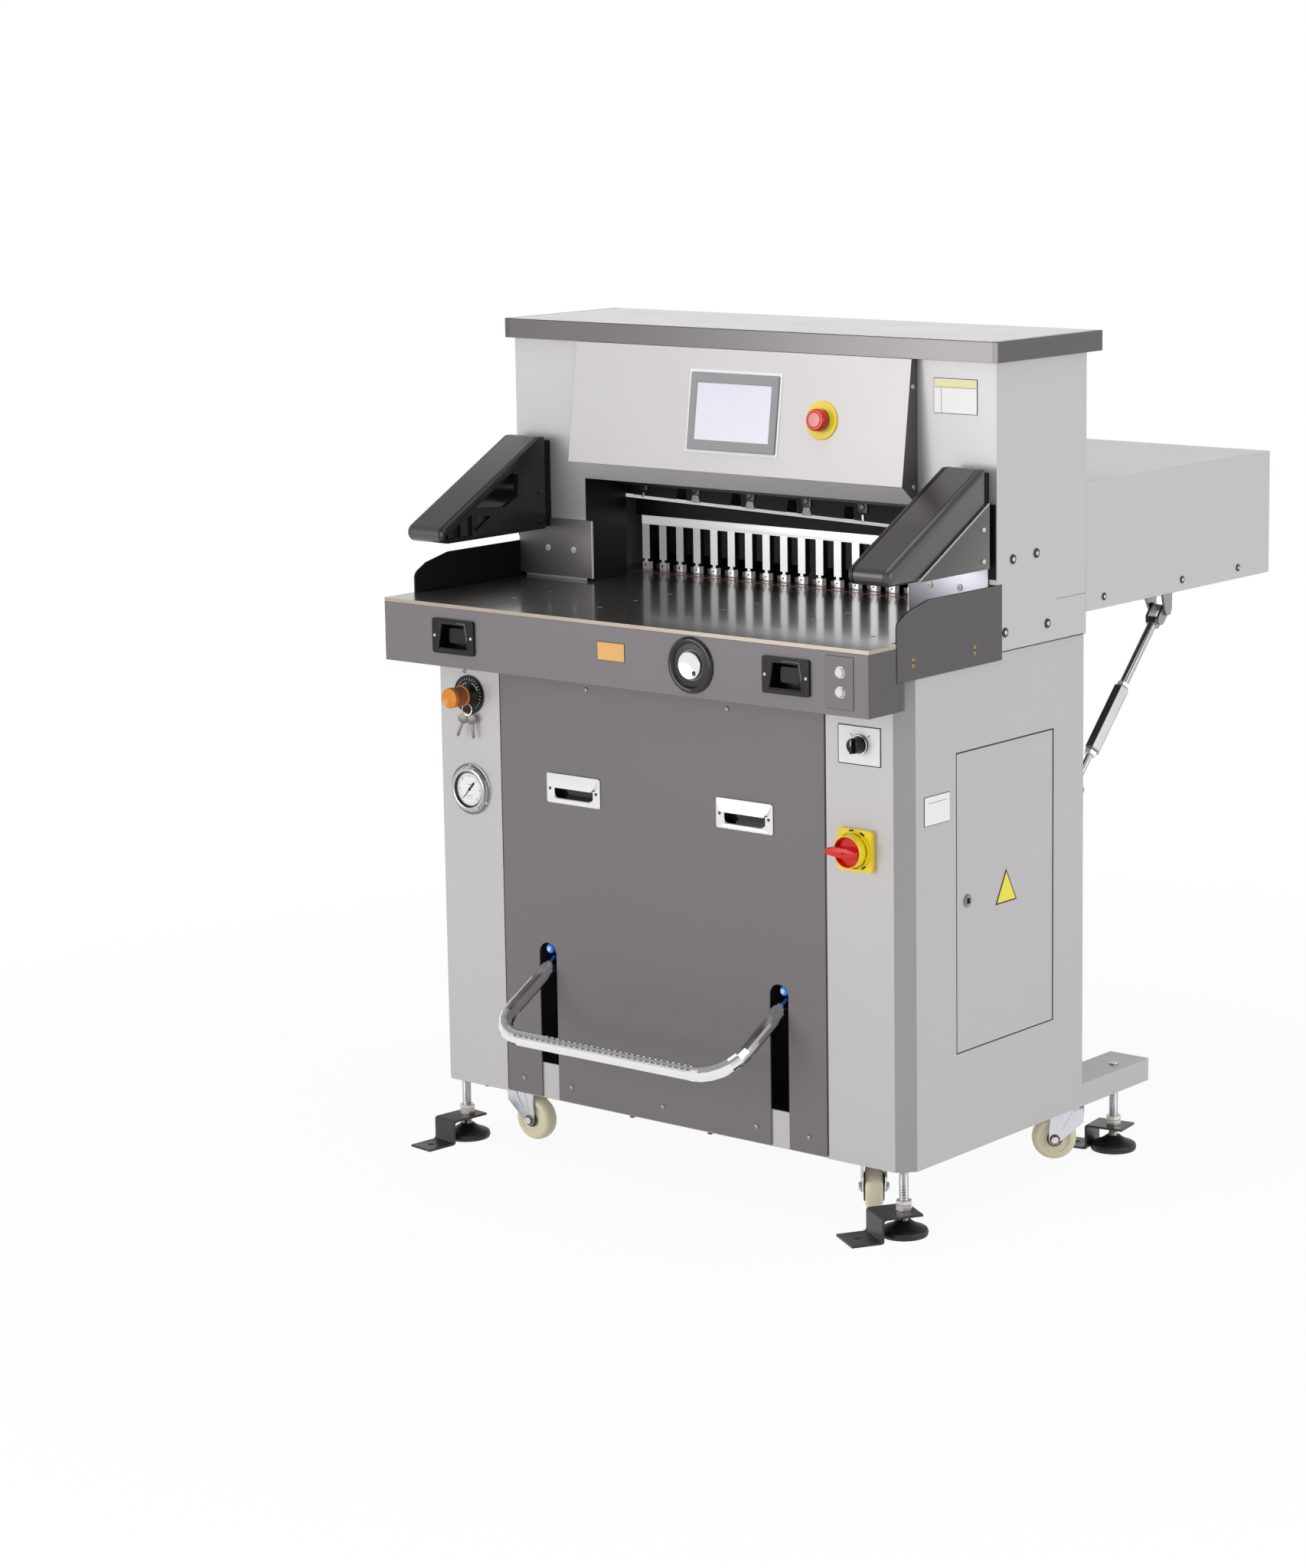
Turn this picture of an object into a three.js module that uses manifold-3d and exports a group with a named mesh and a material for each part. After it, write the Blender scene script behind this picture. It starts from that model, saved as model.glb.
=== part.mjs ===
// A floor-standing hydraulic paper cutter, built at its real size in millimetres.
// Machine frame: x = 0 is the middle, y = 0 the front of the base cabinet, z = 0 its bottom, +Z up.
// The group at the end moves all of it, so that its origin is on the floor under the middle of the machine.
import * as THREE from 'three';
import { mergeVertices } from 'three/addons/utils/BufferGeometryUtils.js';
import Module from 'manifold-3d';

const wasm = await Module();
wasm.setup();

// Fits shared by all pieces
const seatGap = 0.3; // left between pieces that rest on each other
const slideGap = 0.5; // left between pieces that slide past each other
const boreGap = 0.05; // radial play of a shaft in its bore
const overrun = 5; // how far a cutter runs past what it cuts
const sheet = 2.5; // folded covers and panels

// Base cabinet: its three sizes drive the places of all that stands on it
const cabinetHalfWidth = 480;
const cabinetDepth = 470;
const cabinetHeight = 765;
const cabinetWall = 6;
const cornerChamfer = 24.4;
const cabinetFloorPlate = 8;
const cabinetTopPlate = 8;
const sillHeight = 59;
const panelFlange = 30; // width of the cabinet front left behind the front panel's edge
const topOpeningInset = 180;
const topOpeningFront = 120;
const topOpeningRear = 50;
const ventCount = 6;
const ventLength = 120;
const ventHeight = 6;
const ventPitch = 22;
const ventDown = 205; // lowest vent under the cabinet's top
const ventInset = 180;

// Main levels and planes of the head above the cabinet
const tableRise = 47; // table's top above the cabinet's
const throatHeight = 170;
const consoleLip = 31;
const consoleHeight = 193;
const headDepth = 242.4;
const sideOverhang = 4; // apron, guards and head stand out past the cabinet's sides by this
const cutPlaneSet = 133.4; // front face of the knife behind the head's front
const tableTop = cabinetHeight + tableRise;
const throatTop = tableTop + throatHeight;
const consoleBottomZ = throatTop + consoleLip;
const headTop = consoleBottomZ + consoleHeight;
const headFront = cabinetDepth - headDepth;
const outerHalfWidth = cabinetHalfWidth + sideOverhang;
const cutPlane = headFront + cutPlaneSet;

// Rear beams that carry the rear feet and casters
const beamWidth = 74;
const beamLength = 195;
const beamHeight = 37;
const beamWall = 4;
const beamBoss = 24; // solid length on each side of the foot's thread
const beamInner = cabinetHalfWidth - beamWidth;
const beamBack = cabinetDepth + beamLength;

// Front panel and pull handles
const pillarWidth = 153;
const panelBottom = 2;
const panelTopDown = 23;
const slotInset = 91;
const slotWidth = 36.5;
const slotTop = 260;
const handleInset = 153.5;
const handleDown = 225.5;
const handleWidth = 111;
const handleHeight = 49;
const handleCorner = 4;
const handleRimHeight = 2.5;
const handleHoleInset = 6; // panel's hole lies inside the handle's rim by this
const handlePocketInset = 14;
const handlePocketBelow = 7;
const handleHoodReach = 6;
const handleHoodTaper = 14;
const handleHoodLip = 3;
const handleDepth = 18;
const handleWall = 2;
const panelHalfWidth = cabinetHalfWidth - pillarWidth;
const panelTop = cabinetHeight - panelTopDown;
const slotCentreX = panelHalfWidth - slotInset;
const handleCentreX = panelHalfWidth - handleInset;
const handleCentreZ = panelTop - handleDown;

// Service door
const doorFront = 128;
const doorRear = 86; // door's rear edge before the cabinet's back
const doorBottom = 162;
const doorTopDown = 140;
const doorRebate = 3;
const doorGap = 1;
const doorFlange = 12;
const lockFromEdge = 27;
const lockUp = 233;
const lockRadius = 8;
const lockProud = 2;
const lockShank = 6;
const lockCamLength = 11;
const lockCamWidth = 8;
const lockCamThickness = 2;
const doorBack = cabinetDepth - doorRear;
const doorTop = cabinetHeight - doorTopDown;
const lockHeight = doorBottom + lockUp;

// Pedal
const pedalTubeRadius = 12.5;
const pedalPivotY = 70;
const pedalPivotZ = 257;
const pedalFrontY = -138;
const pedalFrontZ = 141;
const pedalBendRadius = 60;
const pedalBendSteps = 6;
const pedalHubRadius = 20;
const pedalHubHalfLength = 15;
const pedalShaftRadius = 10;
const pedalBracketOut = 62; // from the pedal's arm to the bracket of its shaft
const pedalBracketThickness = 8;
const pedalBracketHeight = 44;
const pedalBracketX = slotCentreX + pedalBracketOut;

// Levelling feet
const floorDrop = 106; // from the cabinet's bottom down to the floor
const frontFootInset = 30;
const frontFootY = 30;
const rearFootInset = 25;
const rearFootFromEnd = 65;
const footPadRadius = 37;
const footPadHeight = 25;
const footStudRadius = 7.5;
const footStudAbove = 46;
const footNutAcross = 24;
const footNutHeight = 11;
const footBracketWidth = 50;
const footBracketTop = 46;
const footBracketReach = 29;
const footBracketSheet = 4;
const footPlateLength = 50;
const footPlateHole = 5.5;
const frontFootX = cabinetHalfWidth - frontFootInset;
const rearFootX = cabinetHalfWidth - rearFootInset;
const rearFootY = beamBack - rearFootFromEnd;

// Casters
const frontCasterInset = 120;
const frontCasterY = 75;
const rearCasterOut = 30;
const casterPlateHalf = 30;
const casterPlateThickness = 4;
const casterHeadRadius = 21;
const casterHeadHeight = 9;
const casterForkSheet = 4;
const casterTrail = 25;
const casterWheelRadius = 36;
const casterWheelWidth = 30;
const casterFloorGap = 6; // the feet lift the wheels off the floor by this
const casterAxleRadius = 5;
const casterLegGap = 1.5;
const casterBoltHead = 5;
const casterBoltRadius = 9;
const frontCasterX = cabinetHalfWidth - frontCasterInset;
const rearCasterX = beamInner + casterPlateHalf;
const rearCasterY = cabinetDepth + rearCasterOut;

// Pillar fittings
const fittingOut = 66.5; // from the front panel's edge
const gaugeDown = 270.6;
const gaugeFlangeRadius = 42;
const gaugeFlangeHeight = 2.6;
const gaugeBezelRadius = 35;
const gaugeBezel = 4.5;
const gaugeProud = 9.5;
const gaugeDialSet = 4.5; // how far the dial lies behind the bezel's front
const gaugeCaseRadius = 31;
const gaugeCaseDepth = 30;
const needleLength = 24;
const needleTail = 8;
const needleWidth = 2.4;
const needleThickness = 1;
const needleTurn = -0.72; // rest angle of the needle, to the right of straight up
const dialDown = 115.5;
const dialRadius = 31.5;
const dialThickness = 3;
const dialNeckRadius = 11;
const pressureKnobRadius = 16.5;
const pressureKnobLength = 26;
const pressureKnobStem = 20;
const pressureKnobRound = 1;
const selectorOut = 68.8;
const selectorDown = 114;
const selectorRadius = 13;
const selectorLength = 20;
const selectorStem = 5;
const selectorFlange = 15;
const isolatorOut = 62.5;
const isolatorDown = 274.5;
const isolatorHalf = 32;
const isolatorThickness = 9;
const isolatorBossRadius = 29;
const isolatorBossHeight = 5;
const isolatorHandleRadius = 25;
const isolatorHandleHeight = 11;
const isolatorBarHalfWidth = 8;
const isolatorBarReach = 34;
const isolatorBarHeight = 14;
const fittingX = panelHalfWidth + fittingOut;
const gaugeHeight = cabinetHeight - gaugeDown;
const dialHeight = cabinetHeight - dialDown;
const selectorX = panelHalfWidth + selectorOut;
const selectorHeight = cabinetHeight - selectorDown;
const isolatorX = panelHalfWidth + isolatorOut;
const isolatorHeight = cabinetHeight - isolatorDown;

// Table
const tableSlab = 15;
const tableOverhang = 96.4;
const tableLip = 6; // thickness of the front edge that covers the apron
const apronDrop = 100.7;
const guardFront = -21;
const guardThickness = 13.7;
const guardRoom = 1.3; // between a side guard and the table
const rearTableSlab = 12;
const rearTableLength = 544;
const rearRailHeight = 30;
const rearRailWidth = 12;
const tableRib = 14;
const stickBeyond = 15; // stick and clamp reach past the throat by this
const stickWidth = 10;
const stickDepth = 10;
const tableFront = -tableOverhang;
const apronBottom = tableTop - apronDrop;
const tableHalfWidth = outerHalfWidth - guardThickness - guardRoom;
const rearTableBack = cabinetDepth + rearTableLength;

// Apron fittings
const housingInset = 150.5;
const housingDown = 50.8;
const housingWidth = 88;
const housingHeight = 55.6;
const housingCorner = 4;
const housingProud = 4;
const housingCupWidth = 64;
const housingCupTopWidth = 50;
const housingCupHeight = 42;
const housingCupDepth = 24;
const housingWall = 2;
const cutButtonWidth = 36;
const cutButtonHeight = 24;
const cutButtonDepth = 10;
const cutButtonTravel = 4;
const cutButtonStem = 4;
const handwheelFromHousing = 184.7;
const handwheelDown = 52;
const handwheelRadius = 45;
const handwheelInner = 31;
const handwheelProud = 11;
const handwheelFloor = 2.5;
const handwheelKnobRadius = 22.5;
const handwheelKnobHeight = 16;
const handwheelDimpleRadius = 5;
const handwheelDimpleOut = 13;
const pushButtonInset = 51.5;
const pushButtonDown = 36;
const pushButtonPitch = 29;
const pushButtonRadius = 7.5;
const pushButtonProud = 5;
const pushButtonShank = 9;
const housingX = outerHalfWidth - housingInset;
const housingZ = tableTop - housingDown;
const handwheelX = housingX - handwheelFromHousing;
const handwheelZ = tableTop - handwheelDown;
const pushButtonX = outerHalfWidth - pushButtonInset;
const pushButtonUpperZ = tableTop - pushButtonDown;
const pushButtonLowerZ = pushButtonUpperZ - pushButtonPitch;

// Side guards
const guardSkirt = 11.2;
const guardBackLap = 13.4;
const guardHeight = 57.5; // above the table
const guardFrontHeight = 45;
const guardNoseHeight = 33;
const guardRiseStart = 27; // behind the guard's front edge
const guardRiseEnd = 62;
const guardNoseWidth = 12;
const guardBottom = cabinetHeight - guardSkirt;
const guardBack = headFront + guardBackLap;
const guardTop = tableTop + guardHeight;

// Head casing
const headFrontWall = 4;
const headSideWall = 10;
const headTopWall = 6;
const cheekWidth = 147;
const cheekWall = 8;
const cheekDepth = 102.4;
const frameInset = 82;
const frameThickness = 30;
const frameSetBack = 62.4;
const consoleOpeningDown = 26;
const bridgeGap = 0.7;
const bridgeThickness = 26;
const bridgeBelowThroat = 17;
const throatHalfWidth = outerHalfWidth - cheekWidth;
const frameInner = outerHalfWidth - frameInset;

// Throat plates
const throatPlateLap = 4;
const throatPlateInset = 14.5;
const throatPlateUp = 5;
const throatPlateHeight = 95;
const throatPlateSheet = 2.7;
const throatPlateBottom = tableTop + throatPlateUp;
const throatPlateTop = throatPlateBottom + throatPlateHeight;

// Console cover
const consoleTopProud = 14.6;
const consoleBottomProud = 40.6;
const screenOffCentre = -8;
const screenWidth = 186;
const screenUpper = 36; // down the slope from the console's top edge
const screenMargin = 26.7; // left under the screen
const screenProud = 3;
const screenBodyInset = 9;
const screenBodyDepth = 12;
const screenFrame = 11;
const screenFrameUpper = 19;
const screenFrameLower = 13;
const screenGlassSet = 0.8;
const stopFromScreen = 83;
const stopCollarRadius = 30;
const stopCollarThickness = 2;
const stopNeckRadius = 17;
const stopNeckHeight = 7;
const stopStemRadius = 10;
const stopStemDepth = 16;
const stopHeadRadius = 20;
const stopHeadHeight = 12;
const stopTravel = 5;
const consoleTopY = headFront - consoleTopProud;
const consoleBottomY = headFront - consoleBottomProud;
const screenLower = Math.hypot(consoleBottomProud - consoleTopProud, consoleHeight) - screenMargin;
const screenLeft = screenOffCentre - screenWidth / 2;
const screenRight = screenOffCentre + screenWidth / 2;
const stopX = screenRight + stopFromScreen;
const stopDown = (screenUpper + screenLower) / 2;

// Lid
const lidSideLap = 10.5;
const lidFrontLap = 12;
const lidRearLap = 27.8;
const lidHeight = 32;
const lidTopSheet = 3;
const lidLedge = 34; // width of the lid's underside that rests on the casing
const lidEdge = 1.2;

// Light-barrier arms
const armWidth = 79;
const armReach = 265.6;
const armRise = 83; // arm's underside above the table
const armNoseHeight = 30;
const armHeight = 152;
const armHousingDepth = 32.6;
const armHousingBelow = 15;
const armNoseRadius = 13;
const armNoseSteps = 5;
const armEdge = 7; // rounding of the arm's long edges
const armFaceSet = 3; // black inner face behind the arm's rim
const armFaceRim = 6;
const armPocketDepth = 26;
const armRib = 5;
const armRim = 12;
const armWindowCount = 6;
const armWindowHeight = 30;
const armPlateSheet = 2;
const armPlateFront = 68; // bracket plate's low front corner behind the arm's nose
const armPlateRear = 14.6;
const armPlateHeight = 100;
const armInner = outerHalfWidth - armWidth;
const armNose = headFront - armReach;
const armBottomZ = tableTop + armRise;
const armTopFrontZ = armBottomZ + armNoseHeight;
const armTopBackZ = armBottomZ + armHeight;
const armBackY = headFront - armHousingDepth;
const armHousingBottom = armBottomZ - armHousingBelow;

// Knife, its carrier and the slide block that it swings on
const knifeLateral = 46;
const knifePivotDown = 66;
const knifeBeyondThroat = 26;
const knifeEdgeRise = 18; // by which the knife's left end stands higher at rest
const knifeOpen = 115.5; // edge above the table at rest, under the pivot
const knifeStop = 0.5; // edge above the table when it is down
const knifeThickness = 10;
const knifeHeight = 112;
const knifeBevel = 8;
const knifeBoltCount = 6;
const knifeBoltInset = 54;
const knifeBoltFarInset = 97;
const knifeBoltUp = 19;
const knifeBoltRadius = 7;
const knifeBoltHead = 6;
const carrierThickness = 25.5;
const carrierLow = 7; // carrier's lower edge above the knife's edge
const carrierBeam = 120;
const carrierHumpHalf = 85;
const carrierHumpFoot = 190;
const carrierHumpAbove = 26;
const carrierNotchHalf = 13;
const carrierNotchTopHalf = 8;
const carrierNotchHeight = 24;
const blockLength = 64;
const blockWidth = 44;
const pivotPinRadius = 12;
const pivotPinReach = 14;
const knifePivotX = -knifeLateral / 2;
const knifePivotZ = headTop - knifePivotDown;
const knifeHalfLength = throatHalfWidth + knifeBeyondThroat;
const knifeBoltSpan = 2 * knifeHalfLength - knifeBoltInset - knifeBoltFarInset;
const carrierFront = cutPlane - seatGap - carrierThickness;
const bridgeBack = carrierFront - bridgeGap;

// Clamp beam
const clampGap = 2.5; // between the knife and the clamp, and between the clamp and the back gauge
const clampFoot = 17;
const clampRise = 94;
const clampFootHeight = 104;
const clampBeamDepth = 66.5;
const clampBeamDown = 56;
const clampRibCount = 7;
const clampEndMargin = 65.5;
const clampPocketDepth = 30;
const clampFront = cutPlane + knifeThickness + clampGap;
const clampHalfWidth = throatHalfWidth + stickBeyond;
const clampBeamHalf = frameInner - slideGap;

// Back gauge and lead screw
const combThickness = 8;
const combBars = 20;
const combBeyond = 11.65; // middle of the last bar past the throat's side
const combBarWidth = 14.6;
const combNeckWidth = 5.5;
const combNeckHeight = 5;
const combFootWidth = 12;
const combFootHeight = 12.7;
const combHeight = 94;
const combBand = 18;
const gaugeBodyInset = 7;
const gaugeBodyDepth = 51;
const gaugeBodyUp = 30;
const gaugeBodyDown = 7;
const gaugeBodyWall = 8;
const gaugeTongueLength = 36;
const gaugeSlotHalf = 10.5;
const gaugeSlotAhead = 5;
const gaugeSlotRear = 24;
const gaugeNutHalf = 20;
const gaugeNutHalfHeight = 13;
const screwRadius = 8;
const screwDown = 31;
const screwAhead = 5; // screw's front end behind the cutting stick
const screwBearing = 12;
const screwChannelHalf = 28;
const combFront = clampFront + clampFoot + clampGap;
const combHalfSpan = throatHalfWidth + combBeyond;
const combTop = tableTop + combHeight;
const gaugeBodyHalf = throatHalfWidth - gaugeBodyInset;
const screwZ = tableTop - screwDown;
const screwFront = cutPlane + stickWidth + screwAhead;

// Rear cover
const coverHeight = 191; // above the table
const coverEnd = 6;
const coverLap = 7;
const coverTop = tableTop + coverHeight;
const coverBottom = tableTop - rearTableSlab;
const coverBack = rearTableBack + coverEnd;

// Struts
const strutInset = 30;
const strutTopOut = 267;
const strutTopDown = 43;
const strutBottomOut = 16;
const strutBottomDown = 255;
const strutRodRadius = 5;
const strutSleeveRadius = 10;
const strutSleeveShares = [0.43, 0.8];
const strutEyeRadius = 12;
const strutEyeThickness = 10;
const strutForkLength = 34;
const strutPlateHalf = 19;
const strutPlateSheet = 4;
const strutPlateLength = 84;
const strutTopY = cabinetDepth + strutTopOut;
const strutTopZ = tableTop - strutTopDown;
const strutBottomY = cabinetDepth + strutBottomOut;
const strutBottomZ = cabinetHeight - strutBottomDown;

// Hydraulic unit
const tankHalfWidth = 190;
const tankDepth = 240;
const tankRear = 60;
const tankHeight = 230;
const tankRimWidth = 12;
const tankRimHeight = 10;
const motorRadius = 75;
const motorHeight = 250;
const motorX = -70;
const motorFins = 20;
const motorFinDepth = 5;
const valveBlockWidth = 110;
const valveBlockHeight = 120;
const valveBlockX = 95;

// Counts of sides on round pieces
const fewSides = 12;
const someSides = 16;
const manySides = 24;

// The closed geometry as a solid that can be joined and cut. Faces that turn inwards are turned round.
function solidOf(geometry) {
  const bare = geometry.index ? geometry.toNonIndexed() : geometry.clone();
  bare.deleteAttribute('normal');
  bare.deleteAttribute('uv');
  const merged = mergeVertices(bare, 1e-3);
  const triangles = [];
  for (let i = 0; i < merged.index.count; i += 3) {
    const [a, b, c] = [0, 1, 2].map((k) => merged.index.getX(i + k));
    if (a !== b && b !== c && a !== c) triangles.push(a, b, c);
  }
  const make = (triVerts) =>
    new wasm.Manifold(
      new wasm.Mesh({ numProp: 3, vertProperties: merged.attributes.position.array, triVerts }),
    );
  const made = make(new Uint32Array(triangles));
  if (made.volume() > 0) return made;
  const turned = triangles.map((v, i) => triangles[i - (i % 3) + [0, 2, 1][i % 3]]);
  return make(new Uint32Array(turned));
}

function geometryOf(solid) {
  const mesh = solid.getMesh();
  const places = new Float32Array(mesh.numVert * 3);
  for (let i = 0; i < mesh.numVert; i++) {
    const from = i * mesh.numProp;
    places.set(mesh.vertProperties.subarray(from, from + 3), i * 3);
  }
  const geometry = new THREE.BufferGeometry();
  geometry.setAttribute('position', new THREE.BufferAttribute(places, 3));
  geometry.setIndex(new THREE.BufferAttribute(mesh.triVerts, 1));
  return geometry;
}

const join = (first, ...others) => others.reduce((whole, next) => whole.add(next), first);
const cut = (whole, ...tools) => tools.reduce((rest, tool) => rest.subtract(tool), whole);

// Outlines are lists of [across, up] places. Each shape below returns such a list.
function circle(across, up, radius, sides = someSides) {
  return Array.from({ length: sides }, (_, i) => {
    const turn = (2 * Math.PI * (i + 0.5)) / sides;
    return [across + radius * Math.cos(turn), up + radius * Math.sin(turn)];
  });
}

const rectangle = (left, right, low, high) => [[left, low], [right, low], [right, high], [left, high]];

function roundedRectangle(left, right, low, high, radius, steps = 3) {
  const corners = [
    [right - radius, low + radius, -90],
    [right - radius, high - radius, 0],
    [left + radius, high - radius, 90],
    [left + radius, low + radius, 180],
  ];
  return corners.flatMap(([across, up, start]) =>
    Array.from({ length: steps + 1 }, (_, i) => {
      const turn = THREE.MathUtils.degToRad(start + (90 * i) / steps);
      return [across + radius * Math.cos(turn), up + radius * Math.sin(turn)];
    }),
  );
}

// An edge that isn't zero rounds the prism's two ends off by that radius.
function extruded(outline, length, edge = 0) {
  const shape = new THREE.Shape(outline.map(([a, b]) => new THREE.Vector2(a, b)));
  const round = { bevelEnabled: true, bevelThickness: edge, bevelSize: edge, bevelOffset: -edge,
      bevelSegments: 2 };
  const options = { depth: length - 2 * edge, steps: 1, ...(edge ? round : { bevelEnabled: false }) };
  return new THREE.ExtrudeGeometry(shape, options).translate(0, 0, edge);
}

const acrossX = new THREE.Vector3(1, 0, 0);
const acrossY = new THREE.Vector3(0, 1, 0);
const acrossZ = new THREE.Vector3(0, 0, 1);

// Prisms along each axis: the outline is (y, z) along X, (x, z) along Y and (x, y) along Z.
function alongX(outline, from, to, edge = 0) {
  const geometry = extruded(outline, to - from, edge);
  geometry.applyMatrix4(new THREE.Matrix4().makeBasis(acrossY, acrossZ, acrossX));
  return solidOf(geometry.translate(from, 0, 0));
}

function alongY(outline, from, to) {
  const geometry = extruded(outline, to - from);
  const backwards = acrossY.clone().negate();
  geometry.applyMatrix4(new THREE.Matrix4().makeBasis(acrossX, acrossZ, backwards));
  return solidOf(geometry.translate(0, to, 0));
}

const alongZ = (outline, from, to) => solidOf(extruded(outline, to - from).translate(0, 0, from));

// A solid between two outlines of as many places each, the first at the front and the second behind it
function tapered(frontOutline, front, backOutline, back) {
  const count = frontOutline.length;
  const points = [...frontOutline.map(([x, z]) => new THREE.Vector3(x, front, z)),
    ...backOutline.map(([x, z]) => new THREE.Vector3(x, back, z))];
  const faces = [];
  for (let i = 0; i < count; i++) {
    const next = (i + 1) % count;
    faces.push(i, next, count + i, next, count + next, count + i);
    if (i > 1) faces.push(0, i, i - 1, count, count + i - 1, count + i);
  }
  const geometry = new THREE.BufferGeometry().setFromPoints(points);
  geometry.setIndex(faces);
  return solidOf(geometry);
}

function block(left, right, front, back, low, high) {
  const geometry = new THREE.BoxGeometry(right - left, back - front, high - low);
  return solidOf(geometry.translate((left + right) / 2, (front + back) / 2, (low + high) / 2));
}

// A turned piece: profile places are [radius, distance along the axis], closed on the axis.
function turned(profile, axis, sides = someSides) {
  const geometry = new THREE.LatheGeometry(profile.map(([r, h]) => new THREE.Vector2(r, h)), sides);
  geometry.applyQuaternion(new THREE.Quaternion().setFromUnitVectors(acrossY, axis));
  return solidOf(geometry);
}

// A round bar between two places, and the smooth tube through a row of places in one plane.
function bar(from, to, radius, sides = fewSides) {
  const along = new THREE.Vector3().subVectors(to, from);
  const geometry = new THREE.CylinderGeometry(radius, radius, along.length(), sides);
  geometry.applyQuaternion(new THREE.Quaternion().setFromUnitVectors(acrossY, along.clone().normalize()));
  const middle = from.clone().add(to).multiplyScalar(0.5);
  return solidOf(geometry.translate(middle.x, middle.y, middle.z));
}

function tubeThrough(places, planeNormal, radius, sides = someSides) {
  const points = [];
  const faces = [];
  places.forEach((place, i) => {
    const before = places[Math.max(i - 1, 0)];
    const after = places[Math.min(i + 1, places.length - 1)];
    const along = new THREE.Vector3().subVectors(after, before).normalize();
    const side = new THREE.Vector3().crossVectors(planeNormal, along);
    for (let k = 0; k < sides; k++) {
      const turn = (2 * Math.PI * k) / sides;
      const out = planeNormal.clone().multiplyScalar(radius * Math.sin(turn));
      points.push(place.clone().addScaledVector(side, radius * Math.cos(turn)).add(out));
    }
  });
  const ring = (i, k) => i * sides + (k % sides);
  for (let i = 0; i + 1 < places.length; i++) {
    for (let k = 0; k < sides; k++) {
      faces.push(ring(i, k), ring(i, k + 1), ring(i + 1, k));
      faces.push(ring(i, k + 1), ring(i + 1, k + 1), ring(i + 1, k));
    }
  }
  const last = places.length - 1;
  for (let k = 1; k + 1 < sides; k++) {
    faces.push(ring(0, 0), ring(0, k + 1), ring(0, k), ring(last, 0), ring(last, k), ring(last, k + 1));
  }
  const geometry = new THREE.BufferGeometry().setFromPoints(points);
  geometry.setIndex(faces);
  return solidOf(geometry);
}

// The radius of a faceted bore in which a faceted shaft can turn, and of a hole that it only goes through
const boreFor = (shaftRadius, sides = someSides) => (shaftRadius + boreGap) / Math.cos(Math.PI / sides);
const holeFor = (shaftRadius, sides = someSides) => (shaftRadius + seatGap) / Math.cos(Math.PI / sides);

const machine = new THREE.Group();

function finish(colour, roughness, metalness) {
  return new THREE.MeshStandardMaterial({ color: colour, roughness, metalness });
}

const lightGrey = finish(0xb9b4b3, 0.45, 0.35);
const darkGrey = finish(0x6c6769, 0.45, 0.35);
const chrome = finish(0xd8d8d8, 0.12, 1);
const brightSteel = finish(0xcfcfcf, 0.3, 0.9);
const zinc = finish(0xb8b8b4, 0.4, 0.8);
const blackPaint = finish(0x1d1c1d, 0.35, 0.2);
const blackPlastic = finish(0x141414, 0.4, 0);
const tableCoat = finish(0x3a3534, 0.25, 0.6);
const whitePlastic = finish(0xe6e2da, 0.4, 0);
const nylon = finish(0xe3dcc4, 0.5, 0);
const redPlastic = finish(0xc72b30, 0.3, 0);
const yellowPlastic = finish(0xe9c21c, 0.35, 0);
const orangePlastic = finish(0xe0861a, 0.3, 0);
const rubber = finish(0x1b1b1b, 0.8, 0);

function place(name, solid, material, parent = machine) {
  const mesh = new THREE.Mesh(geometryOf(solid), material);
  mesh.name = name;
  parent.add(mesh);
  return mesh;
}

function groupAt(x, y, z, parent = machine) {
  const group = new THREE.Group();
  group.position.set(x, y, z);
  parent.add(group);
  return group;
}

const sides = [['left', -1], ['right', 1]];

// The two ends of a piece that lies between two distances from the middle, on one side
function onSide(side, inner, outer) {
  return [side * inner, side * outer].sort((a, b) => a - b);
}

// Plan of the cabinet, drawn in by inset from its outer faces
function cabinetPlan(inset) {
  const half = cabinetHalfWidth - inset;
  const chamfer = cornerChamfer - inset * (2 - Math.SQRT2);
  return [
    [-half, inset + chamfer],
    [-half + chamfer, inset],
    [half - chamfer, inset],
    [half, inset + chamfer],
    [half, cabinetDepth - inset],
    [-half, cabinetDepth - inset],
  ];
}

const doorInnerFace = cabinetHalfWidth - doorRebate;

function cabinetOpenings() {
  const recessHalf = panelHalfWidth + seatGap;
  const openHalf = panelHalfWidth - panelFlange;
  const recess = block(-recessHalf, recessHalf, -overrun, sheet + seatGap, -overrun, panelTop + seatGap);
  const front = block(-openHalf, openHalf, 0, cabinetWall + overrun, sillHeight, panelTop - panelFlange);
  const topHalf = cabinetHalfWidth - topOpeningInset;
  const top = block(-topHalf, topHalf, topOpeningFront, cabinetDepth - topOpeningRear,
    cabinetHeight - cabinetTopPlate - overrun, cabinetHeight + overrun);
  const rebate = block(doorInnerFace, cabinetHalfWidth + overrun, doorFront - doorGap, doorBack + doorGap,
    doorBottom - doorGap, doorTop + doorGap);
  const doorway = block(cabinetHalfWidth - cabinetWall - overrun, cabinetHalfWidth, doorFront + doorFlange,
    doorBack - doorFlange, doorBottom + doorFlange, doorTop - doorFlange);
  const vents = [];
  for (const [, side] of sides) {
    const centre = side * (cabinetHalfWidth - ventInset);
    for (let i = 0; i < ventCount; i++) {
      const low = cabinetHeight - ventDown + i * ventPitch;
      vents.push(block(centre - ventLength / 2, centre + ventLength / 2, cabinetDepth - cabinetWall - overrun,
        cabinetDepth + overrun, low, low + ventHeight));
    }
  }
  return [recess, front, top, rebate, doorway, ...vents];
}

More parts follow.
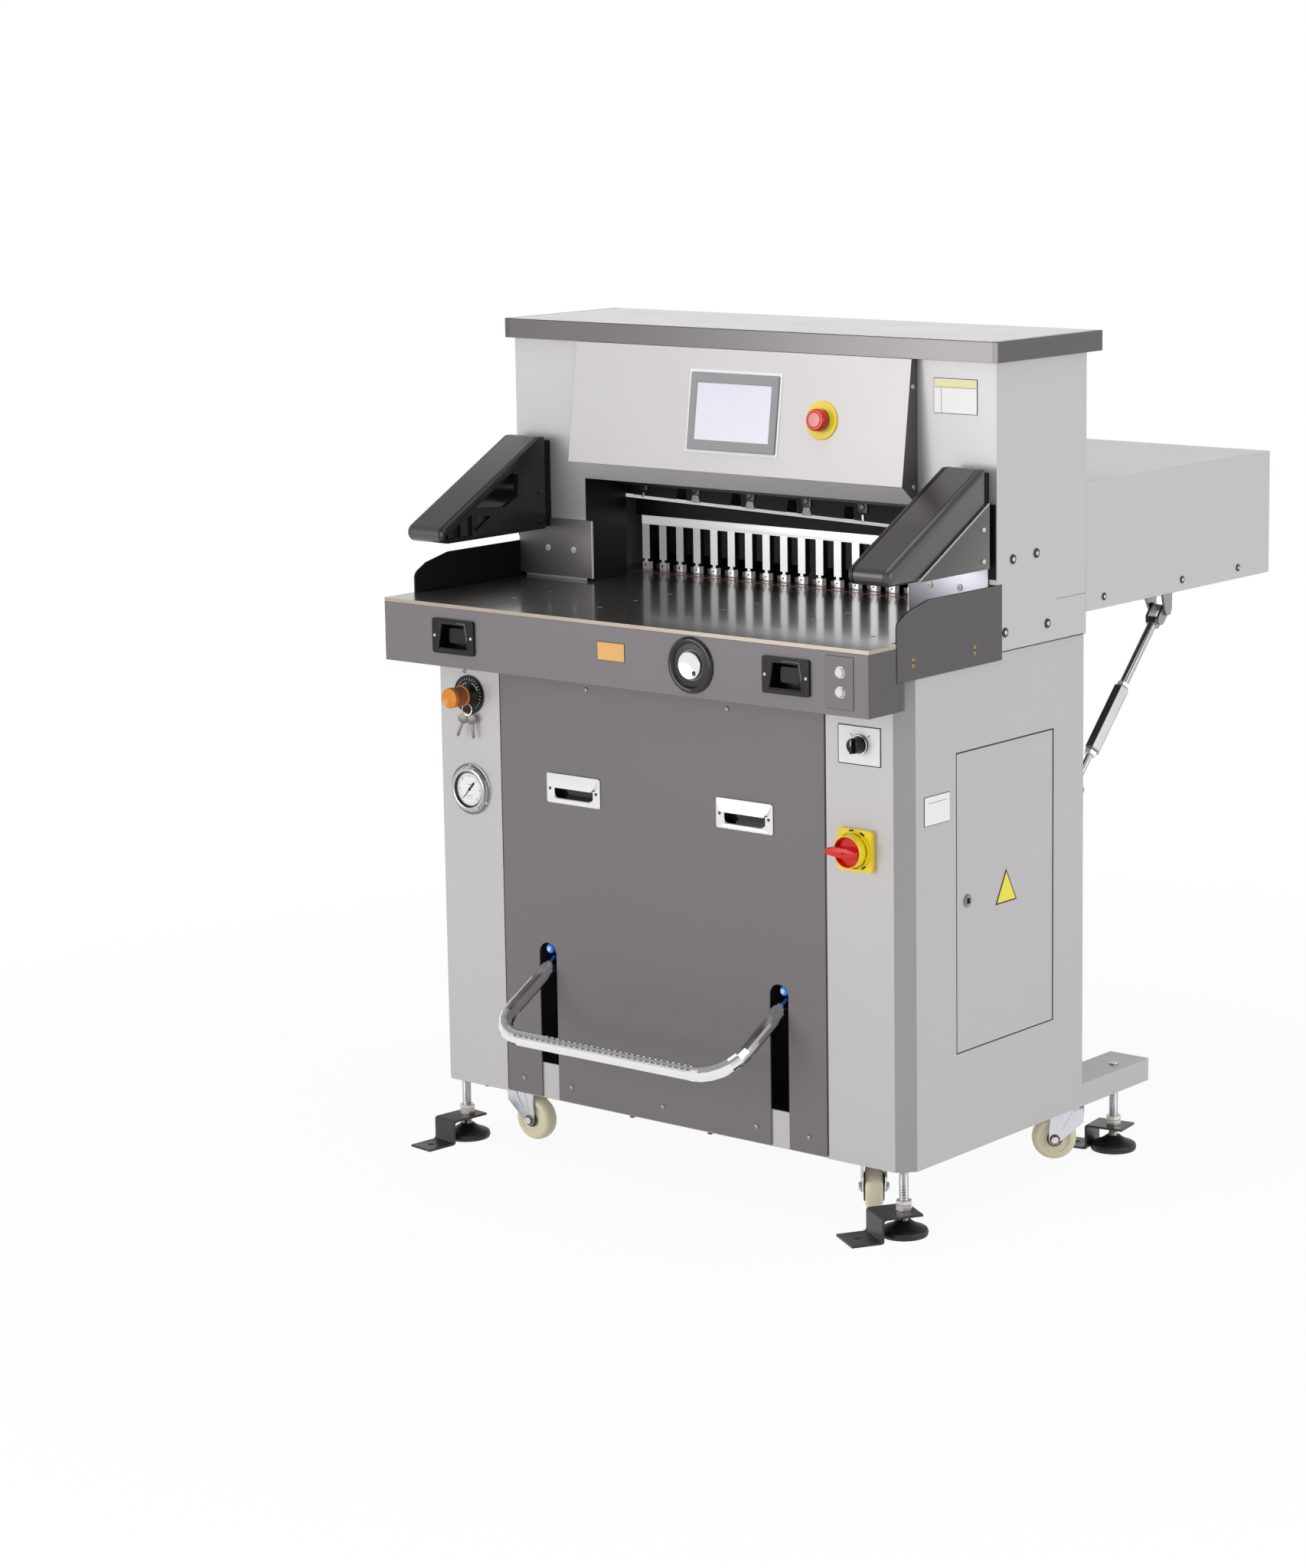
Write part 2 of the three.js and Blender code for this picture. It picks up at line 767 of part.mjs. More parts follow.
function fittingHoles() {
  const through = (x, z, radius) =>
    alongY(circle(x, z, holeFor(radius)), -overrun, cabinetWall + overrun);
  return [
    through(-fittingX, gaugeHeight, gaugeCaseRadius),
    through(-fittingX, dialHeight, dialNeckRadius),
    through(selectorX, selectorHeight, selectorStem),
    through(isolatorX, isolatorHeight, dialNeckRadius),
  ];
}

function rearBeam(side) {
  const [inner, outer] = onSide(side, beamInner, cabinetHalfWidth);
  const whole = block(inner, outer, cabinetDepth - cabinetWall, beamBack, 0, beamHeight);
  const hollow = (front, back) =>
    block(inner + beamWall, outer - beamWall, front, back, -overrun, beamHeight - beamWall);
  return cut(
    whole,
    hollow(rearCasterY + casterPlateHalf + beamWall, rearFootY - beamBoss),
    hollow(rearFootY + beamBoss, beamBack - beamWall),
  );
}

function casterPlate(x, y) {
  return block(x - casterPlateHalf, x + casterPlateHalf, y - casterPlateHalf, y + casterPlateHalf,
    -casterPlateThickness, cabinetFloorPlate / 2);
}

function makeCabinet() {
  const shell = cut(
    alongZ(cabinetPlan(0), 0, cabinetHeight),
    alongZ(cabinetPlan(cabinetWall), cabinetFloorPlate, cabinetHeight - cabinetTopPlate),
  );
  const added = [];
  const threads = [];
  for (const [, side] of sides) {
    added.push(rearBeam(side));
    added.push(casterPlate(side * frontCasterX, frontCasterY), casterPlate(side * rearCasterX, rearCasterY));
    for (const [x, y] of [[frontFootX, frontFootY], [rearFootX, rearFootY]]) {
      threads.push(alongZ(circle(side * x, y, holeFor(footStudRadius, fewSides), fewSides),
        -overrun, beamHeight + overrun));
    }
  }
  const body = cut(join(shell, ...added), ...cabinetOpenings(), ...fittingHoles(), ...threads);
  place('base_cabinet', body, lightGrey);
}

// Handle cups reach through the front panel's holes
function handleCup(grow) {
  const halfWidth = handleWidth / 2 - handlePocketInset + grow;
  const high = handleHeight / 2 - handleHoleInset + grow;
  const low = -handleHeight / 2 + handlePocketBelow - grow;
  return rectangle(-halfWidth, halfWidth, low, high);
}

function makeFrontPanel() {
  const plate = block(-panelHalfWidth, panelHalfWidth, 0, sheet, panelBottom, panelTop);
  const through = [-overrun, overrun + sheet];
  const radius = slotWidth / 2;
  const holeHalfWidth = handleWidth / 2 - handleHoleInset + seatGap;
  const holeHalfHeight = handleHeight / 2 - handleHoleInset + seatGap;
  const hole = block(-holeHalfWidth, holeHalfWidth, ...through, -holeHalfHeight, holeHalfHeight);
  const cuts = [];
  for (const [, side] of sides) {
    const slotX = side * slotCentreX;
    cuts.push(
      alongY(circle(slotX, slotTop - radius, radius, manySides), ...through),
      block(slotX - radius, slotX + radius, ...through, panelBottom - overrun, slotTop - radius),
      hole.translate([side * handleCentreX, 0, handleCentreZ]),
    );
  }
  place('front_panel', cut(plate, ...cuts), darkGrey);
}

function makeHandles() {
  const halfWidth = handleWidth / 2;
  const halfHeight = handleHeight / 2;
  const rim = alongY(roundedRectangle(-halfWidth, halfWidth, -halfHeight, halfHeight, handleCorner),
    -handleRimHeight, -seatGap);
  const cup = alongY(handleCup(0), -handleRimHeight / 2, handleDepth);
  const pocket = alongY(handleCup(-handleWall), -handleRimHeight - overrun, handleDepth - handleWall);
  const lipHalf = halfWidth - handleHoodTaper;
  const hood = tapered(
    rectangle(-lipHalf, lipHalf, 0, handleHoodLip), -handleRimHeight - handleHoodReach,
    rectangle(-halfWidth + handleHoodLip, halfWidth - handleHoodLip, 0, halfHeight - seatGap),
    -handleRimHeight / 2);
  const handle = join(cut(join(rim, cup), pocket), hood);
  for (const [word, side] of sides) {
    place('pull_handle_' + word, handle, chrome, groupAt(side * handleCentreX, 0, handleCentreZ));
  }
}

function makeDoor() {
  const left = doorInnerFace + seatGap;
  const leaf = block(left, cabinetHalfWidth, doorFront, doorBack, doorBottom, doorTop);
  const lockY = doorFront + lockFromEdge;
  const hole = alongX(circle(lockY, lockHeight, holeFor(lockShank)), left - overrun,
      cabinetHalfWidth + overrun);
  place('cabinet_door', cut(leaf, hole), lightGrey);
  const head = alongX(circle(0, 0, lockRadius), seatGap, seatGap + lockProud);
  const groove = block(lockProud / 2 + seatGap, lockProud + overrun, -lockCamThickness / 2,
      lockCamThickness / 2,
    -lockRadius / 2, lockRadius / 2);
  const innerFace = left - cabinetHalfWidth - seatGap;
  const shank = alongX(circle(0, 0, lockShank), innerFace - lockCamThickness, seatGap);
  const cam = block(innerFace - lockCamThickness, innerFace, -lockCamWidth / 2, lockCamWidth / 2,
    -lockCamLength, lockCamWidth / 2);
  const lock = join(cut(head, groove), shank, cam);
  place('door_lock', lock, chrome, groupAt(cabinetHalfWidth, lockY, lockHeight));
}

// The pedal's arms and front bar lie in one plane that slopes down from the shaft
function pedalRoute() {
  const pivot = new THREE.Vector3(0, pedalPivotY, pedalPivotZ);
  const front = new THREE.Vector3(0, pedalFrontY, pedalFrontZ);
  const down = new THREE.Vector3().subVectors(front, pivot);
  const reach = down.length();
  down.normalize();
  const at = (x, out) => pivot.clone().addScaledVector(down, out).setX(x);
  const corner = reach - pedalBendRadius;
  const places = [at(-slotCentreX, 0)];
  for (let i = 0; i <= pedalBendSteps; i++) {
    const turn = (Math.PI / 2) * (i / pedalBendSteps);
    places.push(at(-slotCentreX + pedalBendRadius * (1 - Math.cos(turn)),
        corner + pedalBendRadius * Math.sin(turn)));
  }
  const other = places.map((p) => new THREE.Vector3(-p.x, p.y, p.z)).reverse();
  return { places: [...places, ...other], normal: new THREE.Vector3().crossVectors(acrossX, down) };
}

function makePedal() {
  const { places, normal } = pedalRoute();
  const tube = tubeThrough(places, normal, pedalTubeRadius, someSides);
  const hubs = [];
  const bores = [];
  for (const [, side] of sides) {
    const [from, to] = [side * slotCentreX - pedalHubHalfLength, side * slotCentreX + pedalHubHalfLength];
    hubs.push(alongX(circle(pedalPivotY, pedalPivotZ, pedalHubRadius), from, to));
    bores.push(alongX(circle(pedalPivotY, pedalPivotZ, boreFor(pedalShaftRadius)),
      from - overrun, to + overrun));
  }
  place('pedal_bar', cut(join(tube, ...hubs), ...bores), chrome);
  const shaft = alongX(circle(pedalPivotY, pedalPivotZ, pedalShaftRadius), -pedalBracketX, pedalBracketX);
  const half = pedalBracketHeight / 2;
  const cheeks = sides.map(([, side]) => {
    const [from, to] = onSide(side, pedalBracketX, pedalBracketX + pedalBracketThickness);
    const outline = [
      [cabinetWall + seatGap, pedalPivotZ - half],
      [pedalPivotY, pedalPivotZ - pedalHubRadius],
      [pedalPivotY + pedalHubRadius, pedalPivotZ],
      [pedalPivotY, pedalPivotZ + pedalHubRadius],
      [cabinetWall + seatGap, pedalPivotZ + half],
    ];
    return alongX(outline, from, to);
  });
  place('pedal_shaft', join(shaft, ...cheeks), zinc);
}

function makeFoot(name, x, y, towards) {
  const pad = turned([
    [0, 0],
    [footPadRadius, 0],
    [footPadRadius, footPadHeight * 0.3],
    [footPadRadius * 0.8, footPadHeight * 0.56],
    [footPadRadius * 0.42, footPadHeight * 0.9],
    [footStudRadius, footPadHeight],
    [0, footPadHeight],
  ], acrossZ, someSides);
  const stud = alongZ(circle(0, 0, footStudRadius, fewSides), footPadHeight / 2, floorDrop + footStudAbove);
  const hexagon = circle(0, 0, footNutAcross / Math.sqrt(3), 6);
  const nutTop = floorDrop - seatGap;
  const nut = alongZ(hexagon, nutTop - footNutHeight, nutTop);
  const lowerNut = alongZ(hexagon, footBracketTop, footBracketTop + footNutHeight);
  const half = footBracketWidth / 2;
  const top = block(-footBracketReach, footBracketReach, -half, half, footBracketTop - footBracketSheet,
      footBracketTop);
  const wall = block(footBracketReach - footBracketSheet, footBracketReach, -half, half, 0, footBracketTop);
  const plateEnd = footBracketReach + footPlateLength;
  const plate = block(footBracketReach - footBracketSheet, plateEnd, -half, half, 0, footBracketSheet);
  const hole = alongZ(circle(plateEnd - footPlateLength / 2, 0, footPlateHole, fewSides), -overrun, overrun);
  const turn = Math.atan2(towards[1], towards[0]);
  const mesh = place(name, join(pad, stud, nut, lowerNut, top, wall, cut(plate, hole)), rubber,
    groupAt(x, y, -floorDrop));
  mesh.rotation.z = turn;
}

function makeFeet() {
  makeFoot('levelling_foot_front_left', -frontFootX, frontFootY, [0, -1]);
  makeFoot('levelling_foot_front_right', frontFootX, frontFootY, [-0.75, -0.66]);
  makeFoot('levelling_foot_rear_left', -rearFootX, rearFootY, [1, 0]);
  makeFoot('levelling_foot_rear_right', rearFootX, rearFootY, [-1, 0]);
}

// A caster is built with its wheel trailing along +X, then turned about its swivel axis
const axleDrop = floorDrop - casterFloorGap - casterWheelRadius;

function casterFork() {
  const top = -casterPlateThickness - seatGap;
  const head = alongZ(circle(0, 0, casterHeadRadius), top - casterHeadHeight, top);
  const legInner = casterWheelWidth / 2 + casterLegGap;
  const legOuter = legInner + casterForkSheet;
  const crownTop = top - casterHeadHeight;
  const crown = block(-casterHeadRadius, casterTrail, -legOuter, legOuter, crownTop - casterForkSheet,
      crownTop);
  const outline = [
    [-casterHeadRadius, crownTop],
    [-casterHeadRadius, crownTop - casterHeadRadius / 2],
    [casterTrail - casterBoltRadius, -axleDrop],
    [casterTrail, -axleDrop - casterBoltRadius],
    [casterTrail + casterBoltRadius, -axleDrop],
    [casterTrail + casterBoltRadius, crownTop - casterHeadRadius / 2],
    [casterTrail, crownTop],
  ];
  const axle = alongY(circle(casterTrail, -axleDrop, casterAxleRadius, fewSides), -legOuter, legOuter);
  const bolts = [[-legOuter - casterBoltHead, -legOuter], [legOuter, legOuter + casterBoltHead]].map(([from,
      to]) =>
    alongY(circle(casterTrail, -axleDrop, casterBoltRadius, 6), from, to));
  return join(head, crown, alongY(outline, -legOuter, -legInner), alongY(outline, legInner, legOuter), axle,
      ...bolts);
}

function casterWheel() {
  const half = casterWheelWidth / 2;
  const hub = half + casterLegGap - seatGap;
  const hubRadius = casterBoltRadius + casterLegGap;
  const dish = casterWheelRadius * 0.78;
  const rim = turned([
    [0, -hub],
    [hubRadius, -hub],
    [hubRadius, -half * 0.7],
    [dish, -half * 0.9],
    [casterWheelRadius, -half],
    [casterWheelRadius, half],
    [dish, half * 0.9],
    [hubRadius, half * 0.7],
    [hubRadius, hub],
    [0, hub],
  ], acrossY, manySides);
  return cut(rim, alongY(circle(0, 0, boreFor(casterAxleRadius, fewSides), fewSides), -hub - overrun,
      hub + overrun));
}

function makeCasters() {
  const fork = casterFork();
  const wheel = casterWheel();
  const spots = [
    ['front_left', -frontCasterX, frontCasterY, [1, 0]],
    ['front_right', frontCasterX, frontCasterY, [-0.606, 0.776]],
    ['rear_left', -rearCasterX, rearCasterY, [0, -1]],
    ['rear_right', rearCasterX, rearCasterY, [-0.789, -0.614]],
  ];
  for (const [word, x, y, trail] of spots) {
    const swivel = groupAt(x, y, 0);
    swivel.rotation.z = Math.atan2(trail[1], trail[0]);
    place('caster_fork_' + word, fork, zinc, swivel);
    place('caster_wheel_' + word, wheel, nylon, groupAt(casterTrail, 0, -axleDrop, swivel));
  }
}

// Fittings on the pillars are built round their own axis, which points forwards along -Y
const forwards = acrossY.clone().negate();

function makeGauge() {
  const inner = gaugeBezelRadius - gaugeBezel;
  const dial = gaugeProud - gaugeDialSet;
  const profile = [
    [0, -gaugeCaseDepth],
    [gaugeCaseRadius, -gaugeCaseDepth],
    [gaugeCaseRadius, seatGap],
    [gaugeFlangeRadius, seatGap],
    [gaugeFlangeRadius, gaugeFlangeHeight],
    [gaugeBezelRadius, gaugeFlangeHeight],
    [gaugeBezelRadius, gaugeProud - gaugeBezel / 3],
    [gaugeBezelRadius - gaugeBezel / 3, gaugeProud],
    [inner + gaugeBezel / 3, gaugeProud],
    [inner, dial],
    [0, dial],
  ];
  const spot = groupAt(-fittingX, 0, gaugeHeight);
  place('pressure_gauge', turned(profile, forwards, manySides), chrome, spot);
  const low = -dial - seatGap;
  const pointer = alongY([
    [-needleWidth / 2, -needleTail],
    [needleWidth / 2, -needleTail],
    [needleWidth / 2, 0],
    [0, needleLength],
    [-needleWidth / 2, 0],
  ], low - needleThickness, low);
  const cap = alongY(circle(0, 0, needleWidth * 1.6, fewSides), low - needleThickness * 2, low);
  const needle = place('gauge_needle', join(pointer, cap), blackPlastic, spot);
  needle.rotation.y = -needleTurn;
}

function makePressureDial() {
  const spot = groupAt(-fittingX, 0, dialHeight);
  const neckBack = cabinetWall + overrun;
  const dial = turned([
    [0, -neckBack],
    [dialNeckRadius, -neckBack],
    [dialNeckRadius, seatGap],
    [dialRadius, seatGap],
    [dialRadius, dialThickness],
    [0, dialThickness],
  ], forwards, manySides);
  place('pressure_dial', dial, blackPlastic, spot);
  const foot = dialThickness + seatGap;
  const shoulder = foot + pressureKnobStem;
  const knob = turned([
    [0, foot],
    [dialNeckRadius, foot],
    [dialNeckRadius, shoulder],
    [pressureKnobRadius, shoulder],
    [pressureKnobRadius, shoulder + pressureKnobLength - pressureKnobRound],
    [pressureKnobRadius - pressureKnobRound, shoulder + pressureKnobLength],
    [0, shoulder + pressureKnobLength],
  ], forwards, someSides);
  place('pressure_knob', knob, orangePlastic, spot);
}

function makeSelector() {
  const spot = groupAt(selectorX, 0, selectorHeight);
  const knob = turned([
    [0, -cabinetWall],
    [selectorStem, -cabinetWall],
    [selectorStem, seatGap],
    [selectorFlange, seatGap],
    [selectorFlange, selectorStem],
    [selectorRadius, selectorStem],
    [selectorRadius * 0.9, selectorLength],
    [0, selectorLength],
  ], forwards, someSides);
  const wing = block(-selectorStem / 2, selectorStem / 2, -selectorLength - selectorStem,
      -selectorLength + selectorStem,
    -selectorRadius * 0.85, selectorRadius * 0.85);
  place('selector_knob', join(knob, wing), blackPlastic, spot);
}

function makeIsolator() {
  const spot = groupAt(isolatorX, 0, isolatorHeight);
  const plate = alongY(roundedRectangle(-isolatorHalf, isolatorHalf, -isolatorHalf, isolatorHalf,
      isolatorBossHeight),
    -isolatorThickness, -seatGap);
  const bossFront = -isolatorThickness - isolatorBossHeight;
  const boss = alongY(circle(0, 0, isolatorBossRadius, manySides), bossFront, -isolatorThickness);
  const neck = alongY(circle(0, 0, dialNeckRadius), -seatGap, cabinetWall + overrun);
  place('isolator_base', join(plate, boss, neck), yellowPlastic, spot);
  const back = bossFront - seatGap;
  const disc = alongY(circle(0, 0, isolatorHandleRadius, manySides), back - isolatorHandleHeight, back);
  const grip = alongY(
    roundedRectangle(-isolatorBarReach, isolatorHandleRadius, -isolatorBarHalfWidth, isolatorBarHalfWidth,
      isolatorBarHalfWidth / 2),
    back - isolatorHandleHeight - isolatorBarHeight, back - isolatorHandleHeight / 2);
  place('isolator_handle', join(disc, grip), redPlastic, spot);
}

// Table: slab, ribs on the cabinet's top, rear part with its side rails
function tablePlan() {
  return [
    [-outerHalfWidth, tableFront],
    [outerHalfWidth, tableFront],
    [outerHalfWidth, guardFront - seatGap],
    [tableHalfWidth, guardFront - seatGap],
    [tableHalfWidth, cabinetDepth],
    [-tableHalfWidth, cabinetDepth],
    [-tableHalfWidth, guardFront - seatGap],
    [-outerHalfWidth, guardFront - seatGap],
  ];
}

const tableUnderside = tableTop - tableSlab;
const ribBottom = cabinetHeight + seatGap;

function tableRibs() {
  const front = cabinetWall;
  const back = cabinetDepth - cabinetWall;
  const reach = overrun + tableUnderside;
  const ribs = [
    block(-tableHalfWidth, -tableHalfWidth + tableRib, front, back, ribBottom, reach),
    block(tableHalfWidth - tableRib, tableHalfWidth, front, back, ribBottom, reach),
    block(-tableHalfWidth, tableHalfWidth, front, front + tableRib, ribBottom, reach),
    block(-tableHalfWidth, -screwChannelHalf, back - tableRib, back, ribBottom, reach),
    block(screwChannelHalf, tableHalfWidth, back - tableRib, back, ribBottom, reach),
    block(-screwChannelHalf, screwChannelHalf, screwFront, screwFront + screwBearing, ribBottom, reach),
    block(-screwChannelHalf, screwChannelHalf, rearTableBack - screwBearing, rearTableBack, ribBottom, reach),
  ];
  for (const [, side] of sides) {
    const edges = onSide(side, screwChannelHalf, screwChannelHalf + tableRib);
    ribs.push(block(...edges, screwFront, rearTableBack, ribBottom, reach));
  }
  return ribs;
}

function makeTable() {
  const rearBottom = tableTop - rearTableSlab;
  const railOuter = outerHalfWidth - sheet - seatGap;
  const slab = alongZ(tablePlan(), tableUnderside, tableTop);
  const rear = join(
    block(-tableHalfWidth, tableHalfWidth, cabinetDepth - overrun, rearTableBack, rearBottom, tableTop),
    block(-railOuter, railOuter, cabinetDepth + slideGap, rearTableBack, rearBottom, tableTop),
  );
  const rails = sides.map(([, side]) => {
    const edges = onSide(side, railOuter - rearRailWidth, railOuter);
    return block(...edges, cabinetDepth + slideGap, rearTableBack, rearBottom, rearBottom + rearRailHeight);
  });
  const underLip = block(-outerHalfWidth - overrun, outerHalfWidth + overrun, tableFront - overrun,
    tableFront + sheet + seatGap, tableUnderside - overrun, tableTop - tableLip);
  const underSides = sides.map(([, side]) => {
    const edges = onSide(side, outerHalfWidth - sheet - seatGap, outerHalfWidth + overrun);
    return block(...edges, tableFront - overrun, guardFront, tableUnderside - overrun, tableTop - tableLip);
  });
  const groove = block(-clampHalfWidth, clampHalfWidth, cutPlane - seatGap, cutPlane + stickWidth + seatGap,
    tableTop - stickDepth, tableTop + overrun);
  const slot = block(-gaugeSlotHalf, gaugeSlotHalf, combFront + combThickness - gaugeSlotAhead,
    rearTableBack - gaugeSlotRear, ribBottom - overrun, tableTop + overrun);
  const bearing = alongY(circle(0, screwZ, boreFor(screwRadius)), screwFront - overrun,
    rearTableBack + overrun);
  const body = cut(join(slab, rear, ...rails, ...tableRibs()), underLip, ...underSides, groove, slot,
      bearing);
  place('table', body, tableCoat);
  const stick = block(-clampHalfWidth + slideGap, clampHalfWidth - slideGap, cutPlane, cutPlane + stickWidth,
    tableTop - stickDepth + seatGap, tableTop);
  place('cutting_stick', stick, redPlastic);
}

function makeApron() {
  const low = apronBottom;
  const high = tableTop - tableLip - seatGap;
  const front = tableFront;
  const outer = block(-outerHalfWidth, outerHalfWidth, front, -seatGap, low, high);
  const back = guardFront - seatGap;
  const inner = block(-outerHalfWidth + sheet, outerHalfWidth - sheet, front + sheet, overrun, low + sheet,
    high + overrun);
  const cheeks = sides.map(([, side]) => {
    const edges = onSide(side, cabinetHalfWidth - cornerChamfer, outerHalfWidth + overrun);
    return block(...edges, back, overrun, low - overrun, high + overrun);
  });
  const wall = [front - overrun, front + sheet + overrun];
  const holes = sides.map(([, side]) =>
    alongY(housingCup(seatGap), ...wall).translate([side * housingX, 0, housingZ]));
  const buttons = [pushButtonUpperZ, pushButtonLowerZ].map((z) =>
    alongY(circle(pushButtonX, z, holeFor(pushButtonRadius)), ...wall));
  place('apron', cut(outer, inner, ...cheeks, ...holes, ...buttons), darkGrey);
}

// The recess behind each cut button narrows towards its top
function housingCup(grow) {
  const half = housingCupWidth / 2 + grow;
  const topHalf = housingCupTopWidth / 2 + grow;
  const high = housingCupHeight / 2 + grow;
  return [[-half, -high], [half, -high], [topHalf, high], [-topHalf, high]];
}

function makeButtonHousings() {
  const rim = alongY(
    roundedRectangle(-housingWidth / 2, housingWidth / 2, -housingHeight / 2, housingHeight / 2,
    housingCorner),
    -housingProud, -seatGap);
  const cup = alongY(housingCup(0), -housingProud / 2, housingCupDepth);
  const pocket = alongY(housingCup(-housingWall), -housingProud - overrun, housingCupDepth - housingWall);
  const stemHole = alongY(circle(0, 0, holeFor(cutButtonStem, fewSides), fewSides), 0,
      housingCupDepth + overrun);
  const housing = cut(join(rim, cup), pocket, stemHole);
  const floor = housingCupDepth - housingWall;
  const back = floor - cutButtonTravel - slideGap;
  const cap = alongY(
    roundedRectangle(-cutButtonWidth / 2, cutButtonWidth / 2, -cutButtonHeight / 2, cutButtonHeight / 2,
    housingCorner),
    back - cutButtonDepth, back);
  const stem = alongY(circle(0, 0, cutButtonStem, fewSides), back - housingWall,
      housingCupDepth + housingWall);
  const button = join(cap, stem);
  for (const [word, side] of sides) {
    const spot = groupAt(side * housingX, tableFront, housingZ);
    place('button_housing_' + word, housing, blackPlastic, spot);
    place('cut_button_' + word, button, blackPlastic, spot);
  }
}

function makeHandwheel() {
  const spot = groupAt(handwheelX, tableFront, handwheelZ);
  const bezel = turned([
    [0, seatGap],
    [handwheelRadius, seatGap],
    [handwheelRadius, handwheelProud * 0.6],
    [handwheelRadius * 0.94, handwheelProud],
    [handwheelInner * 1.1, handwheelProud],
    [handwheelInner, handwheelProud * 0.7],
    [handwheelInner * 0.9, handwheelFloor],
    [0, handwheelFloor],
  ], forwards, manySides);
  place('handwheel_bezel', bezel, blackPlastic, spot);
  const low = handwheelFloor + seatGap;
  const knob = turned([
    [0, low],
    [handwheelKnobRadius, low],
    [handwheelKnobRadius, low + handwheelKnobHeight * 0.55],
    [handwheelKnobRadius * 0.9, low + handwheelKnobHeight * 0.8],
    [handwheelKnobRadius * 0.6, low + handwheelKnobHeight * 0.95],
    [0, low + handwheelKnobHeight],
  ], forwards, someSides);
  const dimple = turned([
    [0, low + handwheelKnobHeight * 0.6],
    [handwheelDimpleRadius, low + handwheelKnobHeight * 0.75],
    [handwheelDimpleRadius, low + handwheelKnobHeight + overrun],
    [0, low + handwheelKnobHeight + overrun],
  ], forwards, fewSides).translate([handwheelDimpleOut * 0.6, 0, -handwheelDimpleOut * 0.8]);
  place('handwheel_knob', cut(knob, dimple), chrome, spot);
}

function makePushButtons() {
  const button = turned([
    [0, -pushButtonShank],
    [pushButtonRadius, -pushButtonShank],
    [pushButtonRadius, pushButtonProud * 0.7],
    [pushButtonRadius * 0.85, pushButtonProud],
    [0, pushButtonProud],
  ], forwards, someSides);
  place('push_button_upper', button, whitePlastic, groupAt(pushButtonX, tableFront, pushButtonUpperZ));
  place('push_button_lower', button, whitePlastic, groupAt(pushButtonX, tableFront, pushButtonLowerZ));
}

function makeSideGuards() {
  const outline = (low) => [
    [guardFront, low],
    [guardBack, low],
    [guardBack, guardTop],
    [guardFront + guardRiseEnd, guardTop],
    [guardFront + guardRiseStart, tableTop + guardFrontHeight],
    [guardFront + guardNoseWidth, tableTop + guardFrontHeight - guardNoseWidth / 4],
    [guardFront, tableTop + guardNoseHeight],
  ];
  for (const [word, side] of sides) {
    const upper = alongX(outline(ribBottom), ...onSide(side, outerHalfWidth - guardThickness,
        outerHalfWidth));
    const skirt = alongX(outline(guardBottom), ...onSide(side, cabinetHalfWidth + seatGap, outerHalfWidth));
    place('side_guard_' + word, join(upper, skirt), darkGrey);
  }
}

// The bridge between the side frames holds the slanted slot of the knife's slide block
const knifeDrop = knifeOpen - knifeStop;
const knifeSlant = Math.atan2(knifeLateral, knifeDrop);
const knifeStroke = Math.hypot(knifeLateral, knifeDrop);

function slideSlot(grow, stroke) {
  const along = blockLength / 2 + grow;
  const across = blockWidth / 2 + grow;
  const outline = [[-across, -along - stroke], [across, -along - stroke], [across, along], [-across, along]];
  return outline.map(([x, z]) => [
    knifePivotX + x * Math.cos(knifeSlant) - z * Math.sin(knifeSlant),
    knifePivotZ + x * Math.sin(knifeSlant) + z * Math.cos(knifeSlant),
  ]);
}

function makeHeadCasing() {
  const low = cabinetHeight + seatGap;
  const aboveTable = tableTop + seatGap;
  const back = cabinetDepth;
  const outer = block(-outerHalfWidth, outerHalfWidth, headFront, back, low, headTop);
  const inner = block(-outerHalfWidth + headSideWall, outerHalfWidth - headSideWall,
      headFront + headFrontWall,
    back - cabinetWall, low - overrun, headTop - headTopWall);
  const tablePassage = block(-outerHalfWidth + headSideWall, outerHalfWidth - headSideWall,
      headFront - overrun,
    back + overrun, low - overrun, aboveTable);
  const throat = block(-throatHalfWidth, throatHalfWidth, headFront - overrun,
      headFront + headFrontWall + overrun,
    low, throatTop);
  const behindConsole = block(-throatHalfWidth + cheekWall, throatHalfWidth - cheekWall, headFront - overrun,
    headFront + headFrontWall + overrun, throatTop - overrun, headTop - consoleOpeningDown);
  const rearOpening = block(-outerHalfWidth + headSideWall, outerHalfWidth - headSideWall,
      back - cabinetWall - overrun,
    back + overrun, low, coverTop - coverLap);
  const guardNotches = sides.map(([, side]) =>
    block(...onSide(side, outerHalfWidth - headSideWall - overrun, outerHalfWidth + overrun),
        headFront - overrun,
      guardBack + seatGap, low - overrun, guardTop + seatGap));
  const shell = cut(outer, inner, tablePassage, throat, behindConsole, rearOpening, ...guardNotches);
  const framework = [];
  for (const [, side] of sides) {
    framework.push(block(...onSide(side, throatHalfWidth, throatHalfWidth + cheekWall),
      headFront + headFrontWall / 2, headFront + cheekDepth, aboveTable, throatTop + cheekWall));
    framework.push(block(...onSide(side, frameInner, frameInner + frameThickness), headFront + frameSetBack,
      back - cabinetWall / 2, aboveTable, headTop - headTopWall / 2));
  }
  const bridge = cut(
    block(-frameInner - overrun, frameInner + overrun, bridgeBack - bridgeThickness, bridgeBack,
      throatTop - bridgeBelowThroat, headTop - headTopWall / 2),
    alongY(slideSlot(slideGap, knifeStroke), bridgeBack - bridgeThickness - overrun, bridgeBack + overrun),
  );
  place('head_casing', join(shell, ...framework, bridge), lightGrey);
}

